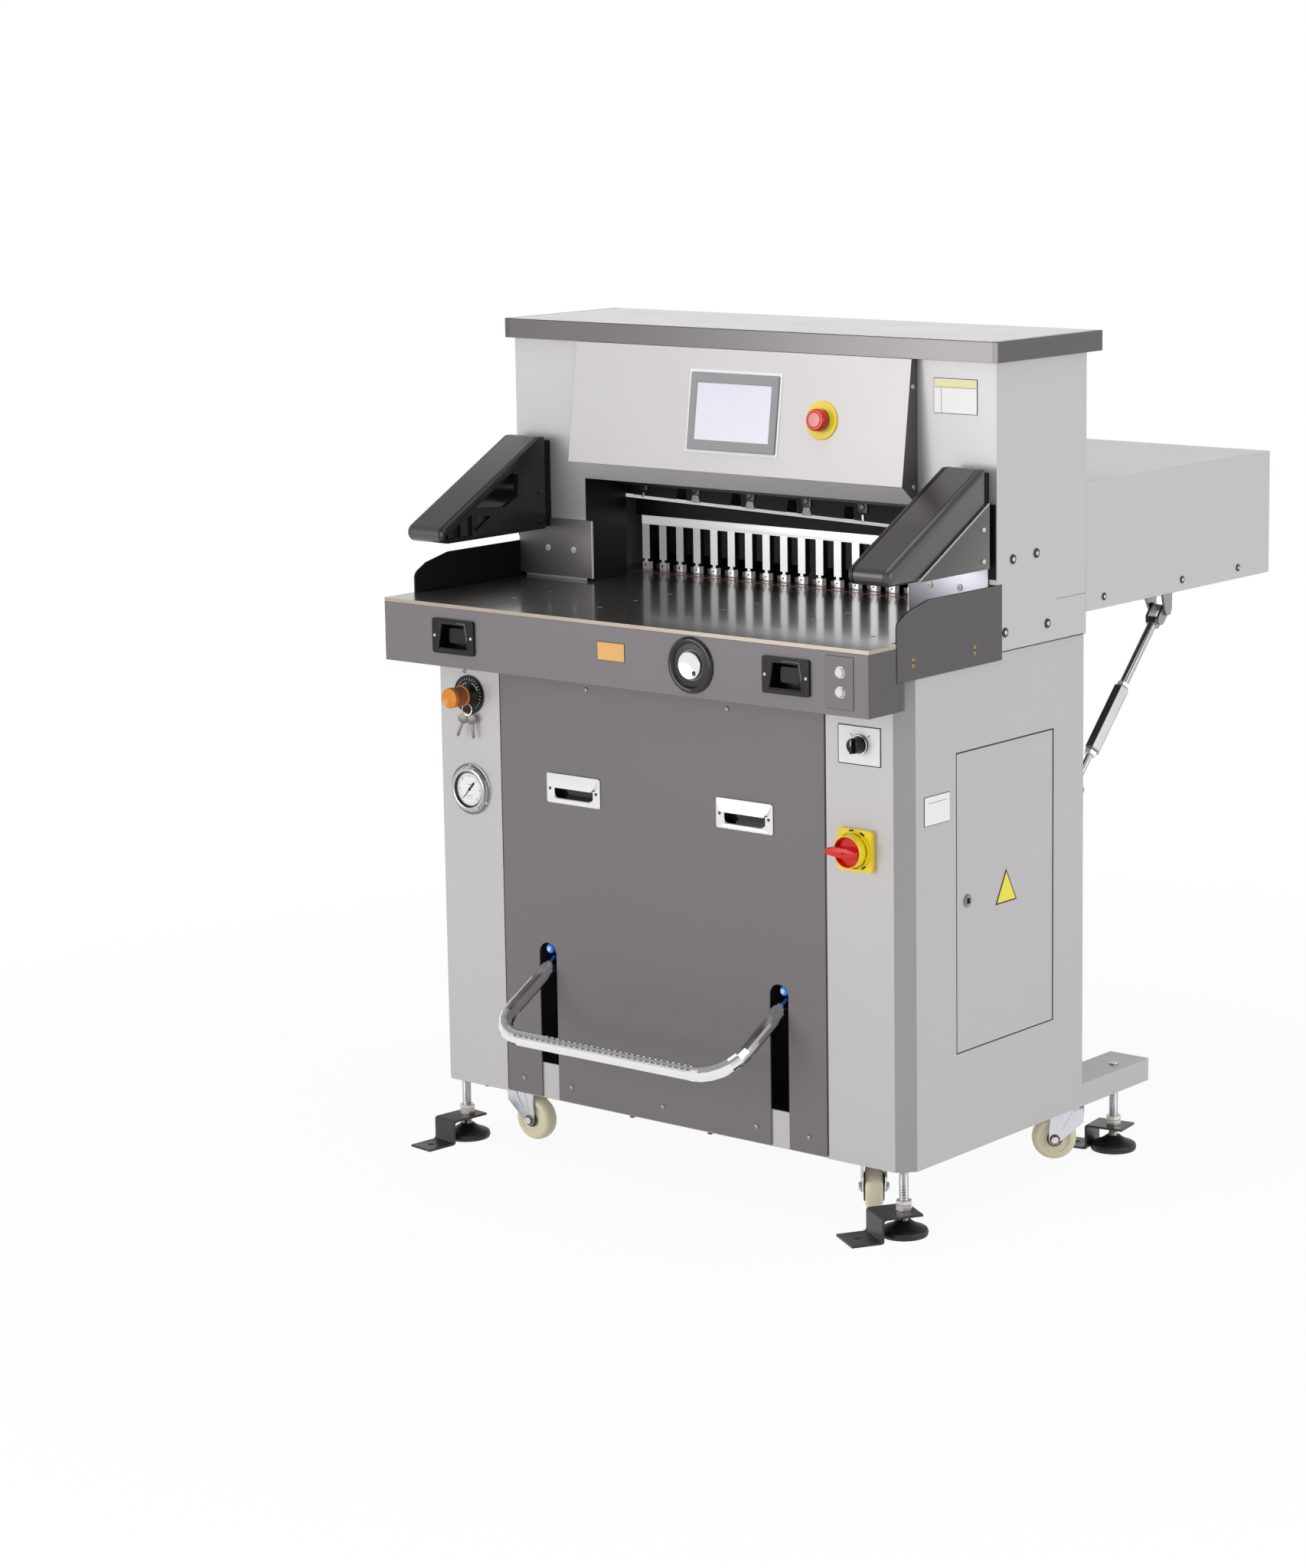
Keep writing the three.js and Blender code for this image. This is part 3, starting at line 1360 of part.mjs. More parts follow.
function makeThroatPlates() {
  for (const [word, side] of sides) {
    const plate = block(...onSide(side, throatHalfWidth - throatPlateLap, outerHalfWidth - throatPlateInset),
      headFront - seatGap - throatPlateSheet, headFront - seatGap, throatPlateBottom, throatPlateTop);
    place('throat_plate_' + word, plate, darkGrey);
  }
}

// Everything on the console is built with z up its sloping face and -y out of it
const consoleSlope = Math.atan2(consoleBottomProud - consoleTopProud, consoleHeight);

function consoleSpot() {
  const group = groupAt(0, consoleTopY, headTop);
  group.rotation.x = -consoleSlope;
  return group;
}

function consoleOutline(inset) {
  const wallFace = headFront - seatGap;
  const lip = throatTop;
  return [
    [consoleTopY + inset, headTop - inset],
    [consoleBottomY + inset, consoleBottomZ - inset / 4],
    [wallFace - sheet + inset / 2, lip + inset],
    [wallFace + 2 * inset, lip + inset],
    [wallFace + 2 * inset, headTop - inset],
  ];
}

function makeConsole() {
  const outer = alongX(consoleOutline(0), -throatHalfWidth, throatHalfWidth);
  const inner = alongX(consoleOutline(sheet), -throatHalfWidth + sheet, throatHalfWidth - sheet);
  const turn = (solid) =>
    solid.rotate([-THREE.MathUtils.radToDeg(consoleSlope), 0, 0]).translate([0, consoleTopY, headTop]);
  const inset = screenBodyInset - seatGap;
  const screenHole = turn(block(screenLeft + inset, screenRight - inset, -overrun, 2 * overrun,
    -screenLower + inset, -screenUpper - inset));
  const stopHole = turn(alongY(circle(stopX, -stopDown, holeFor(stopStemRadius)), -overrun, 2 * overrun));
  place('console_cover', cut(outer, inner, screenHole, stopHole), lightGrey);

  const spot = consoleSpot();
  const face = block(screenLeft, screenRight, -screenProud, -seatGap, -screenLower, -screenUpper);
  const body = block(screenLeft + screenBodyInset, screenRight - screenBodyInset, -seatGap, screenBodyDepth,
    -screenLower + screenBodyInset, -screenUpper - screenBodyInset);
  const glass = block(screenLeft + screenFrame, screenRight - screenFrame, -screenProud - overrun,
    -screenProud + screenGlassSet, -screenLower + screenFrameLower, -screenUpper - screenFrameUpper);
  place('touch_screen', cut(join(face, body), glass), darkGrey, spot);

  const stop = groupAt(stopX, 0, -stopDown, spot);
  const collar = turned([
    [0, seatGap],
    [stopCollarRadius, seatGap],
    [stopCollarRadius, stopCollarThickness],
    [stopNeckRadius, stopCollarThickness],
    [stopNeckRadius, stopNeckHeight],
    [0, stopNeckHeight],
  ], forwards, manySides);
  const bore = alongY(circle(0, 0, holeFor(stopStemRadius)), -stopNeckHeight - overrun, overrun);
  place('stop_collar', cut(collar, bore), yellowPlastic, stop);
  const under = stopNeckHeight + stopTravel + slideGap;
  const mushroom = turned([
    [0, -stopStemDepth],
    [stopStemRadius, -stopStemDepth],
    [stopStemRadius, under],
    [stopHeadRadius * 0.8, under],
    [stopHeadRadius, under + stopHeadHeight * 0.25],
    [stopHeadRadius, under + stopHeadHeight * 0.7],
    [stopHeadRadius * 0.8, under + stopHeadHeight],
    [0, under + stopHeadHeight * 1.05],
  ], forwards, someSides);
  place('stop_button', mushroom, redPlastic, stop);
}

function makeLid() {
  const low = headTop + seatGap;
  const half = outerHalfWidth + lidSideLap;
  const front = headFront - lidFrontLap;
  const back = cabinetDepth + lidRearLap;
  const high = headTop + lidHeight;
  const outline = [
    [front, low],
    [back, low],
    [back, high - lidEdge],
    [back - lidEdge, high],
    [front + lidEdge, high],
    [front, high - lidEdge],
  ];
  const whole = alongX(outline, -half, half);
  const hollow = block(-half + lidLedge, half - lidLedge, front + lidLedge, back - lidLedge, low - overrun,
    high - lidTopSheet);
  place('lid', cut(whole, hollow), darkGrey);
}

// The arm's outline seen from the side: a round nose and a flat top that slopes up to the pillar
const armSlope = (armTopBackZ - armTopFrontZ) / (armBackY - armNose);

function armOutline(inset) {
  const radius = armNoseRadius - inset;
  const topTurn = Math.PI / 2 + Math.atan(armSlope);
  const bottomTurn = (3 * Math.PI) / 2;
  const centre = [armNose + armNoseRadius, armBottomZ + armNoseRadius];
  const nose = Array.from({ length: armNoseSteps + 1 }, (_, i) => {
    const turn = topTurn + ((bottomTurn - topTurn) * i) / armNoseSteps;
    return [centre[0] + radius * Math.cos(turn), centre[1] + radius * Math.sin(turn)];
  });
  const end = armBackY - inset;
  const roof = nose[0][1] + (end - nose[0][0]) * armSlope;
  return [...nose, [end, armBottomZ + inset], [end, roof]];
}

// Windows in the arm's inner face, each as high as the sloping roof lets it be
function armPockets(from, to) {
  const low = armBottomZ + armRim;
  const first = armNose + armNoseRadius;
  const last = armBackY - armRim;
  const pitch = (last - first + armRib) / armWindowCount;
  const roof = (y) => low + (y - first) * armSlope;
  return Array.from({ length: armWindowCount }, (_, i) => {
    const front = first + i * pitch;
    const back = front + pitch - armRib;
    const high = (y) => Math.min(low + armWindowHeight, roof(y) + armRib);
    return alongX([[front, low], [back, low], [back, high(back)], [front, high(front)]], from, to);
  });
}

function makeArms() {
  const pillarFace = headFront - seatGap;
  const plateFace = headFront - throatPlateSheet - 2 * seatGap;
  const clearOfPlate = throatPlateTop + seatGap;
  for (const [word, side] of sides) {
    const shell = alongX(armOutline(0), ...onSide(side, armInner, outerHalfWidth - armPlateSheet), armEdge);
    const inwards = (depth) => onSide(side, armInner - overrun, armInner + depth);
    const face = alongX(armOutline(armFaceRim), ...inwards(armFaceSet));
    const housing = alongX([
      [armBackY - armEdge, armHousingBottom],
      [plateFace, armHousingBottom],
      [plateFace, clearOfPlate],
      [pillarFace, clearOfPlate],
      [pillarFace, armTopBackZ],
      [armBackY - armEdge, armTopBackZ - armEdge],
    ], ...onSide(side, armInner + armEdge, outerHalfWidth - armPlateSheet));
    const plateBack = headFront - armPlateRear;
    const plate = alongX([
      [armNose + armPlateFront, armBottomZ],
      [plateBack, armBottomZ],
      [plateBack, armBottomZ + armPlateHeight],
    ], ...onSide(side, outerHalfWidth - armPlateSheet - armEdge / 2, outerHalfWidth));
    const body = cut(shell, face, ...armPockets(...inwards(armPocketDepth)));
    place('arm_' + word, join(body, housing, plate), blackPaint);
  }
}

// Knife and carrier are built level round the pivot, as they stand at the end of the cut
function makeKnife() {
  const block = groupAt(knifePivotX, 0, knifePivotZ);
  const swing = groupAt(0, 0, 0, block);
  swing.rotation.y = Math.atan2(knifeEdgeRise, 2 * knifeHalfLength);
  const edge = tableTop + knifeOpen - knifePivotZ;
  const front = cutPlane;
  const back = front + knifeThickness;
  const blade = alongX([
    [front, edge + knifeBevel],
    [back, edge],
    [back, edge + knifeHeight],
    [front, edge + knifeHeight],
  ], -knifeHalfLength, knifeHalfLength);
  const bolts = [];
  const notches = [];
  const carrierBack = front - seatGap;
  const carrierEdge = edge + carrierLow;
  for (let i = 0; i < knifeBoltCount; i++) {
    const x = knifeBoltInset - knifeHalfLength + (i * knifeBoltSpan) / (knifeBoltCount - 1);
    bolts.push(alongY(circle(x, edge + knifeBoltUp, knifeBoltRadius, 6), front - knifeBoltHead,
        front + overrun));
    const notch = [
      [x - carrierNotchHalf, carrierEdge - overrun],
      [x + carrierNotchHalf, carrierEdge - overrun],
      [x + carrierNotchTopHalf, carrierEdge + carrierNotchHeight],
      [x - carrierNotchTopHalf, carrierEdge + carrierNotchHeight],
    ];
    notches.push(alongY(notch, carrierFront - overrun, carrierBack + overrun));
  }
  place('knife', join(blade, ...bolts), brightSteel, swing);
  const beam = alongY([
    [-knifeHalfLength, carrierEdge],
    [knifeHalfLength, carrierEdge],
    [knifeHalfLength, carrierEdge + carrierBeam],
    [carrierHumpFoot, carrierEdge + carrierBeam],
    [carrierHumpHalf, carrierHumpAbove],
    [-carrierHumpHalf, carrierHumpAbove],
    [-carrierHumpFoot, carrierEdge + carrierBeam],
    [-knifeHalfLength, carrierEdge + carrierBeam],
  ], carrierFront, carrierBack);
  const pivotBore = alongY(circle(0, 0, boreFor(pivotPinRadius)), carrierFront - overrun,
    carrierBack + overrun);
  place('knife_carrier', cut(beam, pivotBore, ...notches), blackPaint, swing);
  const face = bridgeBack;
  const slider = alongY(slideSlot(0, 0), face - bridgeThickness, face).translate([-knifePivotX, 0,
      -knifePivotZ]);
  const pin = alongY(circle(0, 0, pivotPinRadius), face - bridgeThickness / 2, carrierFront + pivotPinReach);
  place('knife_guide_block', join(slider, pin), brightSteel, block);
}

function makeClamp() {
  const low = tableTop + clampRise;
  const footTop = low + clampFootHeight;
  const back = clampFront + clampBeamDepth;
  const high = headTop - clampBeamDown;
  const foot = block(-clampHalfWidth, clampHalfWidth, clampFront, clampFront + clampFoot, low,
      footTop + overrun);
  const beam = block(-clampBeamHalf, clampBeamHalf, clampFront, back, footTop, high);
  const pitch = (2 * (clampBeamHalf - clampEndMargin)) / clampRibCount;
  const half = (pitch - tableRib) / 2;
  const pockets = Array.from({ length: clampRibCount }, (_, i) => {
    const centre = (i - (clampRibCount - 1) / 2) * pitch;
    return block(centre - half, centre + half, back - clampPocketDepth, back + overrun, footTop + tableRib,
      high - tableRib);
  });
  place('clamp_beam', cut(join(foot, beam), ...pockets), blackPaint);
}

// The comb's outline runs along its top, then down and up each bar from right to left
function combOutline() {
  const pitch = (2 * combHalfSpan) / (combBars - 1);
  const bandBottom = combTop - combBand;
  const foot = tableTop + seatGap;
  const footTop = foot + combFootHeight;
  const barBottom = footTop + combNeckHeight;
  const half = combBarWidth / 2;
  const outline = [];
  for (let i = 0; i < combBars; i++) {
    const x = i * pitch - combHalfSpan;
    outline.push(
      [x - half, bandBottom],
      [x - half, barBottom],
      [x - combNeckWidth / 2, barBottom],
      [x - combNeckWidth / 2, footTop],
      [x - combFootWidth / 2, footTop],
      [x - combFootWidth / 2, foot],
      [x + combFootWidth / 2, foot],
      [x + combFootWidth / 2, footTop],
      [x + combNeckWidth / 2, footTop],
      [x + combNeckWidth / 2, barBottom],
      [x + half, barBottom],
      [x + half, bandBottom],
    );
  }
  outline.push([combHalfSpan + half, combTop], [-combHalfSpan - half, combTop]);
  return outline.filter(([x, z], i, all) => {
    const [px, pz] = all[(i + all.length - 1) % all.length];
    return x !== px || z !== pz;
  });
}

function makeBackGauge() {
  const back = combFront + combThickness;
  const bodyBack = back + gaugeBodyDepth;
  const comb = alongY(combOutline(), combFront, back);
  const [low, high] = [tableTop + gaugeBodyUp, combTop - gaugeBodyDown];
  const inner = gaugeBodyHalf - gaugeBodyWall;
  const box = block(-gaugeBodyHalf, gaugeBodyHalf, back - slideGap, bodyBack, low, high);
  const hollow = block(-inner, inner, back + gaugeBodyWall, bodyBack + overrun, low + gaugeBodyWall,
    high - gaugeBodyWall);
  const tongueHalf = gaugeSlotHalf - slideGap;
  const [nutLow, nutHigh] = [screwZ - gaugeNutHalfHeight, screwZ + gaugeNutHalfHeight];
  const tongue = block(-tongueHalf, tongueHalf, back, back + gaugeTongueLength, nutHigh - overrun,
    high - gaugeBodyWall / 2);
  const nut = cut(
    block(-gaugeNutHalf, gaugeNutHalf, back, back + gaugeTongueLength, nutLow, nutHigh),
    alongY(circle(0, screwZ, boreFor(screwRadius)), back - overrun, back + gaugeTongueLength + overrun),
  );
  place('back_gauge', join(comb, cut(box, hollow), tongue, nut), brightSteel);
  const screw = alongY(circle(0, screwZ, screwRadius), screwFront - seatGap, rearTableBack);
  place('lead_screw', screw, brightSteel);
}

function makeRearCover() {
  const front = cabinetDepth + seatGap;
  const whole = block(-outerHalfWidth, outerHalfWidth, front, coverBack, coverBottom, coverTop);
  const hollow = block(-outerHalfWidth + sheet, outerHalfWidth - sheet, front - overrun, coverBack - sheet,
    coverBottom - overrun, coverTop - sheet);
  place('rear_cover', cut(whole, hollow), lightGrey);
}

function makeStruts() {
  for (const [word, side] of sides) {
    const x = side * (cabinetHalfWidth - strutInset);
    const top = new THREE.Vector3(x, strutTopY, strutTopZ);
    const bottom = new THREE.Vector3(x, strutBottomY, strutBottomZ);
    const at = (share) => top.clone().lerp(bottom, share);
    const rod = bar(top, bottom, strutRodRadius);
    const sleeve = bar(at(strutSleeveShares[0]), at(strutSleeveShares[1]), strutSleeveRadius);
    const share = strutForkLength / top.distanceTo(bottom);
    const fork = bar(top, at(share), strutEyeRadius * 0.8);
    const half = strutEyeThickness;
    const eye = (y, z) => alongX(circle(y, z, strutEyeRadius, fewSides), x - half, x + half);
    const tableFace = tableTop - rearTableSlab - seatGap;
    const upperPlate = block(x - strutPlateHalf, x + strutPlateHalf, strutTopY - strutPlateLength,
      strutTopY + strutEyeRadius, tableFace - strutPlateSheet, tableFace);
    const upperEar = alongX([
      [strutTopY - strutEyeRadius, strutTopZ],
      [strutTopY + strutEyeRadius, strutTopZ],
      [strutTopY + strutEyeRadius, tableFace],
      [strutTopY - strutPlateLength, tableFace],
    ], x - half, x - half + strutPlateSheet);
    const baseFace = cabinetDepth + seatGap;
    const lowerPlate = block(x - strutPlateHalf, x + strutPlateHalf, baseFace, baseFace + strutPlateSheet,
      strutBottomZ - 2 * strutEyeRadius, strutBottomZ + 2 * strutEyeRadius);
    const lowerEar = alongX([
      [baseFace, strutBottomZ - strutEyeRadius],
      [strutBottomY, strutBottomZ - strutEyeRadius],
      [strutBottomY, strutBottomZ + strutEyeRadius],
      [baseFace, strutBottomZ + strutEyeRadius],
    ], x - half, x - half + strutPlateSheet);
    const parts = [sleeve, fork, eye(strutTopY, strutTopZ), eye(strutBottomY, strutBottomZ), upperPlate,
        upperEar,
      lowerPlate, lowerEar];
    place('strut_' + word, join(rod, ...parts), zinc);
  }
}

function makeHydraulicUnit() {
  const low = cabinetFloorPlate + seatGap;
  const top = low + tankHeight;
  const tankBack = cabinetDepth - tankRear;
  const tankFront = tankBack - tankDepth;
  const rim = tankRimWidth;
  const tank = join(
    block(-tankHalfWidth, tankHalfWidth, tankFront, tankBack, low, top),
    block(-tankHalfWidth - rim, tankHalfWidth + rim, tankFront - rim, tankBack + rim, top - tankRimHeight,
    top),
  );
  const middle = (tankFront + tankBack) / 2;
  const finned = Array.from({ length: 2 * motorFins }, (_, i) => {
    const radius = motorRadius - (i % 2 ? motorFinDepth : 0);
    const turn = (Math.PI * i) / motorFins;
    return [motorX + radius * Math.cos(turn), middle + radius * Math.sin(turn)];
  });
  const motor = alongZ(finned, top - overrun, top + motorHeight);
  const cap = alongZ(circle(motorX, middle, motorRadius * 0.8), top + motorHeight - overrun,
    top + motorHeight + tankRimWidth);
  const half = valveBlockWidth / 2;
  const valve = block(valveBlockX - half, valveBlockX + half, middle - half, middle + half, top - overrun,
    top + valveBlockHeight);
  place('hydraulic_unit', join(tank, motor, cap, valve), darkGrey);
}

makeCabinet();
makeFrontPanel();
makeHandles();
makeDoor();
makePedal();
makeFeet();
makeCasters();
makeGauge();
makePressureDial();
makeSelector();
makeIsolator();
makeTable();
makeApron();
makeButtonHousings();
makeHandwheel();
makePushButtons();
makeSideGuards();
makeHeadCasing();
makeThroatPlates();
makeConsole();
makeLid();
makeArms();
makeKnife();
makeClamp();
makeBackGauge();
makeRearCover();
makeStruts();
makeHydraulicUnit();

// The origin is on the floor, under the middle of the whole machine
const whole = new THREE.Box3().setFromObject(machine, true);
machine.position.set(-(whole.min.x + whole.max.x) / 2, -(whole.min.y + whole.max.y) / 2, floorDrop);

const paperCutter = new THREE.Group();
paperCutter.add(machine);

export default paperCutter;
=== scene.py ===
# %% [markdown]
# # Dressing a hydraulic paper cutter
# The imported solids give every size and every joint. This scene adds what a solid can't show: the finish of
# each surface, the small fasteners, the plates, and the fine parts of the controls.

import math

import bmesh
import bpy
from mathutils import Matrix, Vector


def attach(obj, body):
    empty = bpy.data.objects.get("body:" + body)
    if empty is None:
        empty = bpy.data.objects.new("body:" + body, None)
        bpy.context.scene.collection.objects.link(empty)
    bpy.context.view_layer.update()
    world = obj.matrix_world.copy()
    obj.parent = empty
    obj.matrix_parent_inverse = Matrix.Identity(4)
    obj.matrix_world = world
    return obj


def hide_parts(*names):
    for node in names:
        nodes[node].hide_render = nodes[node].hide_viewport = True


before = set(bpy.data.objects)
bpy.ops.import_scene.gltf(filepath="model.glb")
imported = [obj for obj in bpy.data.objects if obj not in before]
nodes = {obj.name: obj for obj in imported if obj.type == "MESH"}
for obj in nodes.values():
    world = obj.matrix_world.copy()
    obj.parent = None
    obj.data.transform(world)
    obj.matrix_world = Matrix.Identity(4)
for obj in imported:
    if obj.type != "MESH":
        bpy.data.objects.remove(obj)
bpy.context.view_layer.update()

# %% [markdown]
# ## Places
# The machine is measured in millimetres from the middle of the cabinet's lower front edge, as on a drawing.
# `at` turns such a place into the row frame, and `facing` gives a small drawing plane there: its X runs to the
# right, its Y up, and its Z out of the surface. A slanted plate or a side face then takes the same code as the
# front.

# %% Places
FROM_FRONT = 434.792
FLOOR_DROP = 106
FRONT, RIGHT, LEFT, UP = (0, -1, 0), (1, 0, 0), (-1, 0, 0), (0, 0, 1)
SIDES = ((1, "right"), (-1, "left"))
HEAD_SIDE, CABINET_SIDE = 484, 480
MM = Matrix.Scale(0.001, 4)


def at(x, y, z):
    return Vector((x, y - FROM_FRONT, z + FLOOR_DROP)) / 1000


def facing(x, y, z, out=FRONT, roll=0.0):
    out = Vector(out).normalized()
    up = Vector(UP) if abs(out.z) < 0.9 else Vector((0, 1, 0))
    right = up.cross(out).normalized()
    turn = Matrix((right, out.cross(right), out)).transposed().to_4x4()
    return Matrix.Translation(at(x, y, z)) @ turn @ Matrix.Rotation(roll, 4, "Z") @ MM


def moved(place, x=0, y=0, z=0):
    return place @ Matrix.Translation((x, y, z))


def polar(radius, degrees):
    a = math.radians(degrees)
    return radius * math.cos(a), radius * math.sin(a)


# %% [markdown]
# ## Solids out of rings
# Turned, pressed and bent parts are all stacks of rings: a lathe profile, an outline with an eased edge, or a
# section carried along a path. One small class skins such stacks and gathers them in a single mesh, each with
# its own finish.


# %% Solids out of rings
def circle(radius, height, steps=32, start=0.0):
    turns = (math.tau * (i + start) / steps for i in range(steps))
    return [(radius * math.cos(a), radius * math.sin(a), height) for a in turns]


def polygon(radius, sides=6, start=0.0):
    return [p[:2] for p in circle(radius, 0, sides, start)]


def turned(profile, steps=32):
    return [circle(radius, height, steps) for radius, height in profile]


def rounded(width, height, radius, steps=5):
    """A rectangle with round corners, about its middle, anticlockwise."""
    radius = min(radius, width / 2, height / 2)
    points = []
    for quarter, (sx, sy) in enumerate(((1, 1), (-1, 1), (-1, -1), (1, -1))):
        for i in range(steps + 1):
            a = math.pi / 2 * (quarter + i / steps)
            points.append((sx * (width / 2 - radius) + radius * math.cos(a),
                           sy * (height / 2 - radius) + radius * math.sin(a)))
    return points


def rects(*rows, steps=5, lift=0):
    """Rounded rectangles as rings: the width, height and radius of each, and its place on the axis."""
    return [[(x, y + lift, level) for x, y in rounded(w, h, r, steps)] for w, h, r, level in rows]


def inset(outline, distance):
    """The outline moved inwards, corner by corner."""
    corners = []
    for i, corner in enumerate(outline):
        p, here, q = Vector(outline[i - 1][:2]), Vector(corner[:2]), Vector(outline[(i + 1) % len(outline)][:2])
        a, b = (here - p).normalized(), (q - here).normalized()
        na, nb = Vector((-a.y, a.x)), Vector((-b.y, b.x))
        mid = (na + nb).normalized() if (na + nb).length > 1e-6 else na
        corners.append(tuple(here + mid * distance / max(0.3, mid.dot(na))))
    return corners


def stack(outline, sections, start=0.0):
    """The outline at each (height, inset) of a list, counted from the start."""
    return [[(*p, start + h) for p in (inset(outline, d) if d else outline)] for h, d in sections]


def slab(outline, low, high, edge=0.0):
    """An outline with thickness, and an eased edge on its outer side."""
    if edge:
        return stack(outline, ((low, 0), (high - edge, 0), (high - edge * 0.3, edge * 0.3), (high, edge)))
    return stack(outline, ((low, 0), (high, 0)))


def swept(path, section):
    """A section carried along a path of points, square to it."""
    path = [Vector(p) for p in path]
    rings, side = [], None
    for i, here in enumerate(path):
        along = (path[min(i + 1, len(path) - 1)] - path[max(i - 1, 0)]).normalized()
        if side is None:
            side = along.orthogonal().normalized()
        side = (side - along * side.dot(along)).normalized()
        other = along.cross(side)
        rings.append([tuple(here + side * p[0] + other * p[1]) for p in section])
    return rings


class Shape:
    def __init__(self):
        self.mesh = bmesh.new()
        self.finishes = []

    def add(self, rings, place, finish, ring_shaped=False):
        if finish not in self.finishes:
            self.finishes.append(finish)
        slot = self.finishes.index(finish)
        skins = [[self.mesh.verts.new(place @ Vector(p)) for p in ring] for ring in rings]
        count = len(skins[0])
        faces = []
        for low, high in zip(skins, skins[1:] + skins[:1] if ring_shaped else skins[1:]):
            for i in range(count):
                j = (i + 1) % count
                faces.append(self.mesh.faces.new((low[i], low[j], high[j], high[i])))
        if not ring_shaped:
            faces.append(self.mesh.faces.new(skins[0][::-1]))
            faces.append(self.mesh.faces.new(skins[-1]))
        for face in faces:
            face.material_index = slot
        return self

    def mesh_named(self, name, sharp=35):
        bmesh.ops.recalc_face_normals(self.mesh, faces=self.mesh.faces)
        made = bpy.data.meshes.new(name)
        self.mesh.to_mesh(made)
        self.mesh.free()
        for finish in self.finishes:
            made.materials.append(finish)
        made.shade_smooth()
        made.set_sharp_from_angle(angle=math.radians(sharp))
        return made

    def finish(self, name, body, slot, replaces=(), sharp=35, cut=None):
        made = self.mesh_named(name, sharp)
        if cut:
            made = less(made, cut.mesh_named(name + "_cut"), sharp)
        fitted(name, made, body, replaces)


def fitted(name, mesh, body, replaces=()):
    """A finished mesh as a piece of the model."""
    piece = bpy.data.objects.new(name, mesh)
    bpy.context.scene.collection.objects.link(piece)
    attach(piece, body)
    if replaces:
        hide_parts(*replaces)


def less(whole, part, sharp):
    """The first mesh without the second, whose finishes line the cut."""
    block, tool = (bpy.data.objects.new(mesh.name, mesh) for mesh in (whole, part))
    for each in (block, tool):
        bpy.context.scene.collection.objects.link(each)
    cut = block.modifiers.new("cut", "BOOLEAN")
    cut.operation, cut.solver, cut.material_mode, cut.object = "DIFFERENCE", "EXACT", "TRANSFER", tool
    depsgraph = bpy.context.evaluated_depsgraph_get()
    made = bpy.data.meshes.new_from_object(block.evaluated_get(depsgraph), depsgraph=depsgraph)
    made.name = whole.name
    made.set_sharp_from_angle(angle=math.radians(sharp))
    for each in (block, tool):
        bpy.data.objects.remove(each)
    return made


def sided(side, place):
    """The same place on the right half of the machine or mirrored to its left half."""
    return place if side > 0 else Matrix.Scale(-1, 4, (1, 0, 0)) @ place


def block(shape, x, y, z, finish, edge=0.0, out=UP, side=1):
    """A block between three pairs of places, with eased edges on the side that it faces."""
    u, v, w = {UP: (x, y, z), RIGHT: (y, z, x), FRONT: (x, z, (-y[1], -y[0]))}[out]
    outline = [(u[0], v[0]), (u[1], v[0]), (u[1], v[1]), (u[0], v[1])]
    shape.add(slab(outline, *w, edge), sided(side, facing(0, 0, 0, out)), finish)


print("a test ring has", len(rounded(10, 6, 2)), "points")

# %% [markdown]
# ## Materials as sums
# A finish is a base colour, a roughness and a fine relief that vary a little over the surface. `Flow` wraps the
# output of a node, so that such a sum is written as a sum, and `Look` holds one material.


# %% Materials as sums
def feed(tree, socket, value):
    if isinstance(value, Flow):
        tree.links.new(value.socket, socket)
    elif socket.type == "RGBA" and len(value) == 3:
        socket.default_value = (*value, 1.0)
    else:
        socket.default_value = value


def node(tree, kind, settings=(), **values):
    """A node with its settings, then the values or links of its sockets. Gives its outputs by name."""
    made = tree.nodes.new(kind)
    for name, value in dict(settings).items():
        setattr(made, name, value)
    for name, value in values.items():
        name = name.replace("_", " ")
        feed(tree, next(socket for socket in made.inputs if socket.name == name and socket.enabled), value)
    return {socket.name: Flow(tree, socket) for socket in made.outputs if socket.enabled}


class Flow:
    """A number out of a node. Sums and products of it add Math nodes."""

    def __init__(self, tree, socket):
        self.tree, self.socket = tree, socket

    def math(self, operation, *values):
        made = self.tree.nodes.new("ShaderNodeMath")
        made.operation = operation
        for socket, value in zip(made.inputs, values):
            feed(self.tree, socket, value)
        return Flow(self.tree, made.outputs[0])

    def __add__(self, other):
        return self.math("ADD", self, other)

    def __mul__(self, other):
        return self.math("MULTIPLY", self, other)

    def __sub__(self, other):
        return self.math("SUBTRACT", self, other)

    def __rsub__(self, other):
        return self.math("SUBTRACT", other, self)

    __radd__, __rmul__ = __add__, __mul__

    def between(self, low, high):
        """0 below low, 1 above high, smooth in between."""
        return node(self.tree, "ShaderNodeMapRange", {"interpolation_type": "SMOOTHSTEP"}, Value=self, From_Min=low,
                    From_Max=high)["Result"]


